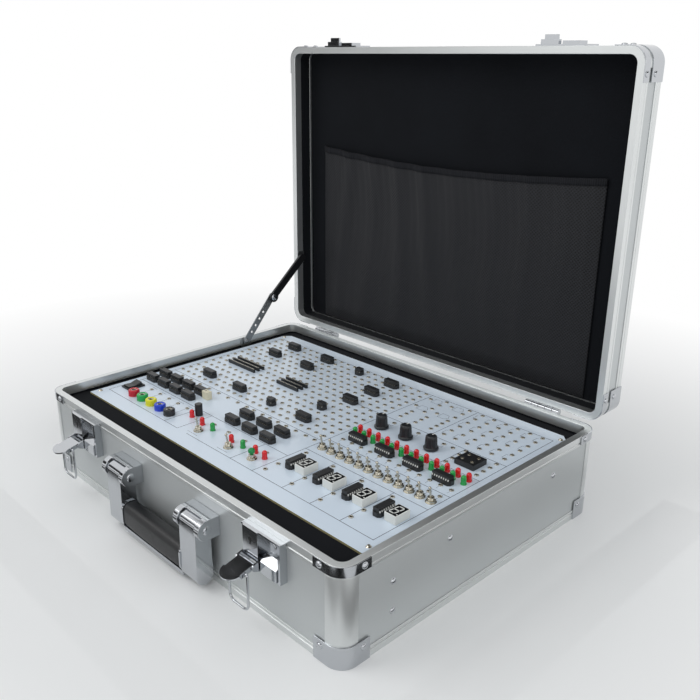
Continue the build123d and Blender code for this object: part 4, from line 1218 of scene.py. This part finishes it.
class TRAINER_OT_sockets(bpy.types.Operator):
    """Finish the five coloured sockets with rounded collars and metal sleeves."""

    bl_idname = "trainer.sockets"
    bl_label = "Sockets"

    def execute(self, context):
        collar = np.vstack([
            [(0, -13), (4, -13), (4, 0), (6.2, 0), (6.2, 0.9), (5.9, 1.2), (5.9, 1.6), (6.2, 1.9)],
            curve((4.7, 5.5), 1.5, 1.5, 6), [(3.5, 7.0), (3.1, 6.7), (3.1, -8), (0, -8)],
        ])
        sleeve = np.array([
            (0, -7.9), (3.05, -7.9), (3.05, 6.2), (2.9, 6.45), (2.2, 6.45), (2.0, 6.2), (2.0, -7.8),
            (0, -7.8),
        ])
        shape = lathe(collar * MM, 40)
        sleeves = []
        for name in ("red", "green", "yellow", "blue", "black"):
            node = f"socket_{name}"
            low, high = box_of(node)
            place = (*(low + high)[:2] / 2, board_corner()[2])
            add_piece(f"{node}_collar", moved(shape, place), name, "base", node, node, smooth_below=40)
            sleeves.append(place)
        add_piece("socket_sleeves", repeated(lathe(sleeve * MM, 28), sleeves), "nickel", "base", "nickel")
        return {"FINISHED"}


class TRAINER_OT_switches(bpy.types.Operator):
    """Finish the toggle switches: round bushings with threads and ball-tipped levers."""

    bl_idname = "trainer.switches"
    bl_label = "Toggle switches"

    def execute(self, context):
        board = context.scene.trainer_board
        dress_node("switch_bushings", "nickel", 0.2)
        joints = [joint["name"] for joint in frame["joints"] if "toggle" in joint["name"]]
        top = board_corner()[2]
        places = [(*pivot(name)[:2], top) for name in joints]
        add_piece("bushing_threads", repeated(self.thread(board), places), "nickel", "base", "nickel")
        lever = self.lever()
        for name in joints:
            node = name.removesuffix("_tip")
            shape = turned(lever, tipped(math.degrees(board.lever_tilt)), pivot(name))
            add_piece(f"{node}_bat", shape, "nickel", on_body(node), "nickel", node)
        return {"FINISHED"}

    def thread(self, board):
        """A bushing's thread: its radius goes between root and crest at each turn."""
        root_r, crest_r, top = 3.02, 3.16, 4.75
        heights = np.arange(2.5, 4.6, board.thread_pitch)
        roots = np.column_stack([np.full(len(heights), root_r), heights])
        crests = np.column_stack([np.full(len(heights), crest_r), heights + board.thread_pitch / 2])
        turns = np.stack([roots, crests], axis=1).reshape(-1, 2)
        return lathe(np.vstack([[(0, 2.4)], turns, [(root_r, top), (0, top)]]) * MM, 20)

    def lever(self):
        """A bat lever along Z: a pivot ball, a slender taper and a round tip."""
        ball = curve((0, 0), 1.48, 1.48, 8, -np.pi / 2, np.pi / 4)[1:]
        tip = curve((0, 11.15), 1.4, 1.4, 9, start=-0.9)[:-1]
        rows = np.vstack([[(0, -1.48)], ball, [(0.8, 2.2), (0.92, 5.5)], tip, [(0, 12.55)]])
        return lathe(rows * MM, 18)


class TRAINER_OT_controls(bpy.types.Operator):
    """Finish the knobs, the push button, the rocker and the small modules."""

    bl_idname = "trainer.controls"
    bl_label = "Knobs and modules"

    def execute(self, context):
        self.add_knobs()
        self.add_button()
        dress_node("rocker", "module", 0.5)
        dress_node("board_modules", "module", 0.35)
        self.add_module_contacts()
        self.add_trimmer()
        return {"FINISHED"}

    def add_knobs(self):
        """Turn each knob with 18 flutes: the waist's radius is scaled by 1 - 0.045 |cos 9t|."""
        rows = np.array([
            (0, 3.9), (5.7, 3.9), (5.7, 0.6), (7.2, 0.6), (7.4, 0.9), (7.4, 2.6), (7.1, 3.0), (6.35, 3.4),
            (6.2, 4.6), (5.9, 9.5), (5.55, 13.4), (5.1, 14.4), (4.2, 14.9), (2.5, 14.95), (0, 14.8),
        ])
        segments = 108
        angle = np.arange(segments) * 2 * np.pi / segments
        ripple = np.ones((len(rows) - 2, segments))
        ripple[7:11] = 1 - 0.045 * np.abs(np.cos(9 * angle))
        shape = lathe(rows * MM, segments, ripple)
        pointer = joined(
            small_block((-0.45, 1.2, 14.85), (0.45, 4.6, 15.05)),
            small_block((-0.45, 5.2, 4.0), (0.45, 6.45, 13.4)),
        )
        for number in (1, 2, 3):
            node = f"knob_{number}"
            place = (*pivot(f"{node}_turn")[:2], board_corner()[2])
            add_piece(f"{node}_fluted", moved(shape, place), "knob", on_body(node), "knob", node)
            add_piece(f"{node}_pointer", moved(pointer, place), "mark", on_body(node), "knob")

    def add_button(self):
        """Round the push button's cap over, on its stem."""
        node = "push_button"
        low, high = box_of(node)
        tall = (high[2] - low[2]) / MM
        stem = [(0, 0), (1.75, 0), (1.75, tall - 4.4), (3.1, tall - 4.4), (3.3, tall - 4.1)]
        crown = curve((0, tall - 2.4), 3.3, 2.4, 8)[:-1]
        rows = np.vstack([stem, crown, [(0, tall)]])
        shape = moved(lathe(rows * MM, 28), (*(low + high)[:2] / 2, low[2]))
        add_piece(f"{node}_cap", shape, "button", on_body(node), "button_green", node)

    def add_module_contacts(self):
        """Ring the square module's four contacts."""
        module = max(solids("board_modules"), key=lambda box: box[1][0])
        centre = (module[0] + module[1]) / 2
        rows = np.array([
            (0, -1.5), (1.9, -1.5), (1.9, 0.25), (1.6, 0.4), (1.25, 0.3), (1.1, -1.2), (0, -1.2),
        ])
        offsets = [(x * MM, y * MM) for x in (-5.5, 5.5) for y in (-5, 5)]
        places = [(centre[0] + x, centre[1] + y, module[1][2]) for x, y in offsets]
        shape = repeated(lathe(rows * MM, 18), places)
        add_piece("module_contacts", shape, "nickel", "base", "nickel")

    def add_trimmer(self):
        """Set the small cream trimmer block and its screw on the board."""
        x, y, z = on_board(105, 84)
        top = z + 9 * MM
        body = prism(rounded(10 * MM, 6.5 * MM, 0.5 * MM, 2) + [x, y], z, top)
        piece = add_piece("trimmer_block", body, "cream", "base", "display")
        soften_edges(piece, 0.3)
        screw = moved(dome(1.7 * MM, 0.6 * MM), (x - 2.2 * MM, y, top))
        add_piece("trimmer_screw", screw, "nickel", "base", "nickel")


# ------------------------------------------------------------------ studio
class TRAINER_OT_stage(bpy.types.Operator):
    """Set the camera, the pale floor and the soft lights."""

    bl_idname = "trainer.stage"
    bl_label = "Camera and studio"

    def execute(self, context):
        studio = context.scene.trainer_studio
        self.add_camera(context, studio)
        self.add_floor()
        self.add_flags()
        self.add_sky(context, studio)
        self.add_softbox("key_light", (-1.1, -1.5, 1.9), (0, 0, 0.15), 1.5, studio.key_power)
        self.add_softbox("fill_light", (1.9, -0.4, 1.2), (0, 0, 0.2), 1.2, studio.fill_power)
        context.scene.view_settings.view_transform = "Standard"
        return {"FINISHED"}

    def add_camera(self, context, studio):
        """Stand the camera where the photograph was taken from, with its framing."""
        data = bpy.data.cameras.new("photo_camera")
        frame_px = 700
        data.sensor_width = 36
        data.lens = studio.focal_px / frame_px * data.sensor_width
        data.shift_x = studio.shift_x_px / frame_px
        data.shift_y = studio.shift_y_px / frame_px
        data.clip_end = 100
        camera = bpy.data.objects.new("photo_camera", data)
        camera.location = studio.camera_place
        camera.rotation_euler = (math.pi / 2 - studio.camera_pitch, studio.camera_roll, studio.camera_heading)
        context.scene.collection.objects.link(camera)
        context.scene.camera = camera

    def add_floor(self):
        """Lay a wide floor: pale and shadowed near the part, plain white to the camera far off."""
        size, thick, pale_within, white_beyond = 30.0, 0.02, 0.34, 0.85
        shape = block((-size, -size, -thick), (size, size, 0))
        material, tree, shader = start_material("studio_floor", linear("#F1F2F2"), 0.0, 0.6)
        place = add_node(tree, "ShaderNodeTexCoord").outputs["Object"]
        reach = add_node(tree, "ShaderNodeVectorMath", {0: place}, operation="LENGTH").outputs["Value"]
        steps = {"Value": reach, "From Min": pale_within, "From Max": white_beyond}
        far = add_node(tree, "ShaderNodeMapRange", steps).outputs[0]
        seen = self.seen_directly(tree)
        factor = add_node(tree, "ShaderNodeMath", {0: far, 1: seen}, operation="MULTIPLY").outputs[0]
        white = add_node(tree, "ShaderNodeEmission", {"Color": (1, 1, 1, 1), "Strength": 1.0}).outputs[0]
        mix = add_node(tree, "ShaderNodeMixShader", {"Fac": factor, 1: shader.outputs[0], 2: white})
        output = next(node for node in tree.nodes if node.type == "OUTPUT_MATERIAL")
        tree.links.new(mix.outputs[0], output.inputs["Surface"])
        floor = mesh_object("studio_floor", shape, [material])

    def add_flags(self):
        """Lay black flags round the part, seen in reflections alone, which give the chrome its contrast."""
        flags = joined(
            block((-0.9, -0.300, 0.001), (0.30, -0.245, 0.002)),
            block((-0.9, -0.62, 0.001), (0.30, -0.40, 0.002)),
            block((0.275, -0.30, 0.001), (0.33, 0.25, 0.002)),
            block((-1.6, -1.7, 0.25), (-1.5, -0.3, 0.75)),
            block((-1.2, -0.9, 1.3), (-0.5, 0.6, 1.35)),
            block((0.6, -0.9, 0.9), (1.6, 1.2, 0.95)),
        )
        cloth = start_material("flag_cloth", linear("#0A0A0B"), 0.0, 0.9)[0]
        flag = mesh_object("studio_flags", flags, [cloth])
        flag.visible_camera = flag.visible_diffuse = flag.visible_shadow = flag.visible_transmission = False

    def seen_directly(self, tree):
        """1 for rays from the camera, a mirror or glass, and 0 for the light that falls on things."""
        path = add_node(tree, "ShaderNodeLightPath").outputs
        seen = path["Is Camera Ray"]
        for kind in ("Is Glossy Ray", "Is Transmission Ray"):
            seen = add_node(tree, "ShaderNodeMath", {0: seen, 1: path[kind]}, operation="MAXIMUM").outputs[0]
        return seen

    def add_sky(self, context, studio):
        """An even sky: soft grey light on things, and white behind them."""
        world = bpy.data.worlds.new("studio_sky")
        context.scene.world = world
        world.use_nodes = True
        tree = world.node_tree
        tree.nodes.clear()
        light, white = (
            add_node(tree, "ShaderNodeBackground", {"Color": color, "Strength": strength}).outputs[0]
            for color, strength in (((0.97, 0.985, 1, 1), studio.sky), ((1, 1, 1, 1), 1.0))
        )
        seen = self.seen_directly(tree)
        mix = add_node(tree, "ShaderNodeMixShader", {"Fac": seen, 1: light, 2: white})
        add_node(tree, "ShaderNodeOutputWorld", {"Surface": mix.outputs[0]})

    def add_softbox(self, name, place, target, size, power):
        """Hang one square soft light that looks at a target."""
        data = bpy.data.lights.new(name, "AREA")
        data.shape = "SQUARE"
        data.size = size
        data.energy = power
        lamp = bpy.data.objects.new(name, data)
        lamp.location = place
        away = np.array(place, float) - np.array(target, float)
        pitch = math.acos(away[2] / np.linalg.norm(away))
        lamp.rotation_euler = (pitch, 0, math.atan2(away[0], -away[1]))
        bpy.context.scene.collection.objects.link(lamp)


# ------------------------------------------------------------------ panel and registration
BUILD_ORDER = (
    "finishes", "case_shell", "rivets", "latches", "handle", "hinges_and_stays", "mesh_pocket", "board",
    "eyelets", "leds", "circuits", "displays", "sockets", "switches", "controls", "stage",
)

SETTINGS = {
    "trainer_case": TrainerCase,
    "trainer_board": TrainerBoard,
    "trainer_pocket": TrainerPocket,
    "trainer_studio": TrainerStudio,
}


class TRAINER_PT_panel(bpy.types.Panel):
    """Lists the trainer's pieces and settings."""

    bl_idname = "TRAINER_PT_panel"
    bl_label = "Logic trainer"
    bl_space_type = "VIEW_3D"
    bl_region_type = "UI"
    bl_category = "Trainer"

    def draw(self, context):
        for name in BUILD_ORDER:
            self.layout.operator(f"trainer.{name}")
        for group in SETTINGS:
            settings = getattr(context.scene, group)
            box = self.layout.box()
            for key in settings.__annotations__:
                box.prop(settings, key)


CLASSES = (
    *SETTINGS.values(),
    TRAINER_OT_finishes,
    TRAINER_OT_case_shell,
    TRAINER_OT_rivets,
    TRAINER_OT_latches,
    TRAINER_OT_handle,
    TRAINER_OT_hinges_and_stays,
    TRAINER_OT_mesh_pocket,
    TRAINER_OT_board,
    TRAINER_OT_eyelets,
    TRAINER_OT_leds,
    TRAINER_OT_circuits,
    TRAINER_OT_displays,
    TRAINER_OT_sockets,
    TRAINER_OT_switches,
    TRAINER_OT_controls,
    TRAINER_OT_stage,
    TRAINER_PT_panel,
)


def register():
    """Register the classes and hang the settings on the scene."""
    for item in CLASSES:
        bpy.utils.register_class(item)
    for name, group in SETTINGS.items():
        setattr(bpy.types.Scene, name, PointerProperty(type=group))


def unregister():
    """Take the settings off the scene and unregister the classes."""
    for name in SETTINGS:
        delattr(bpy.types.Scene, name)
    for item in reversed(CLASSES):
        bpy.utils.unregister_class(item)


def main():
    """Build every piece in order."""
    register()
    for name in BUILD_ORDER:
        getattr(bpy.ops.trainer, name)()


if __name__ == "__main__":
    main()
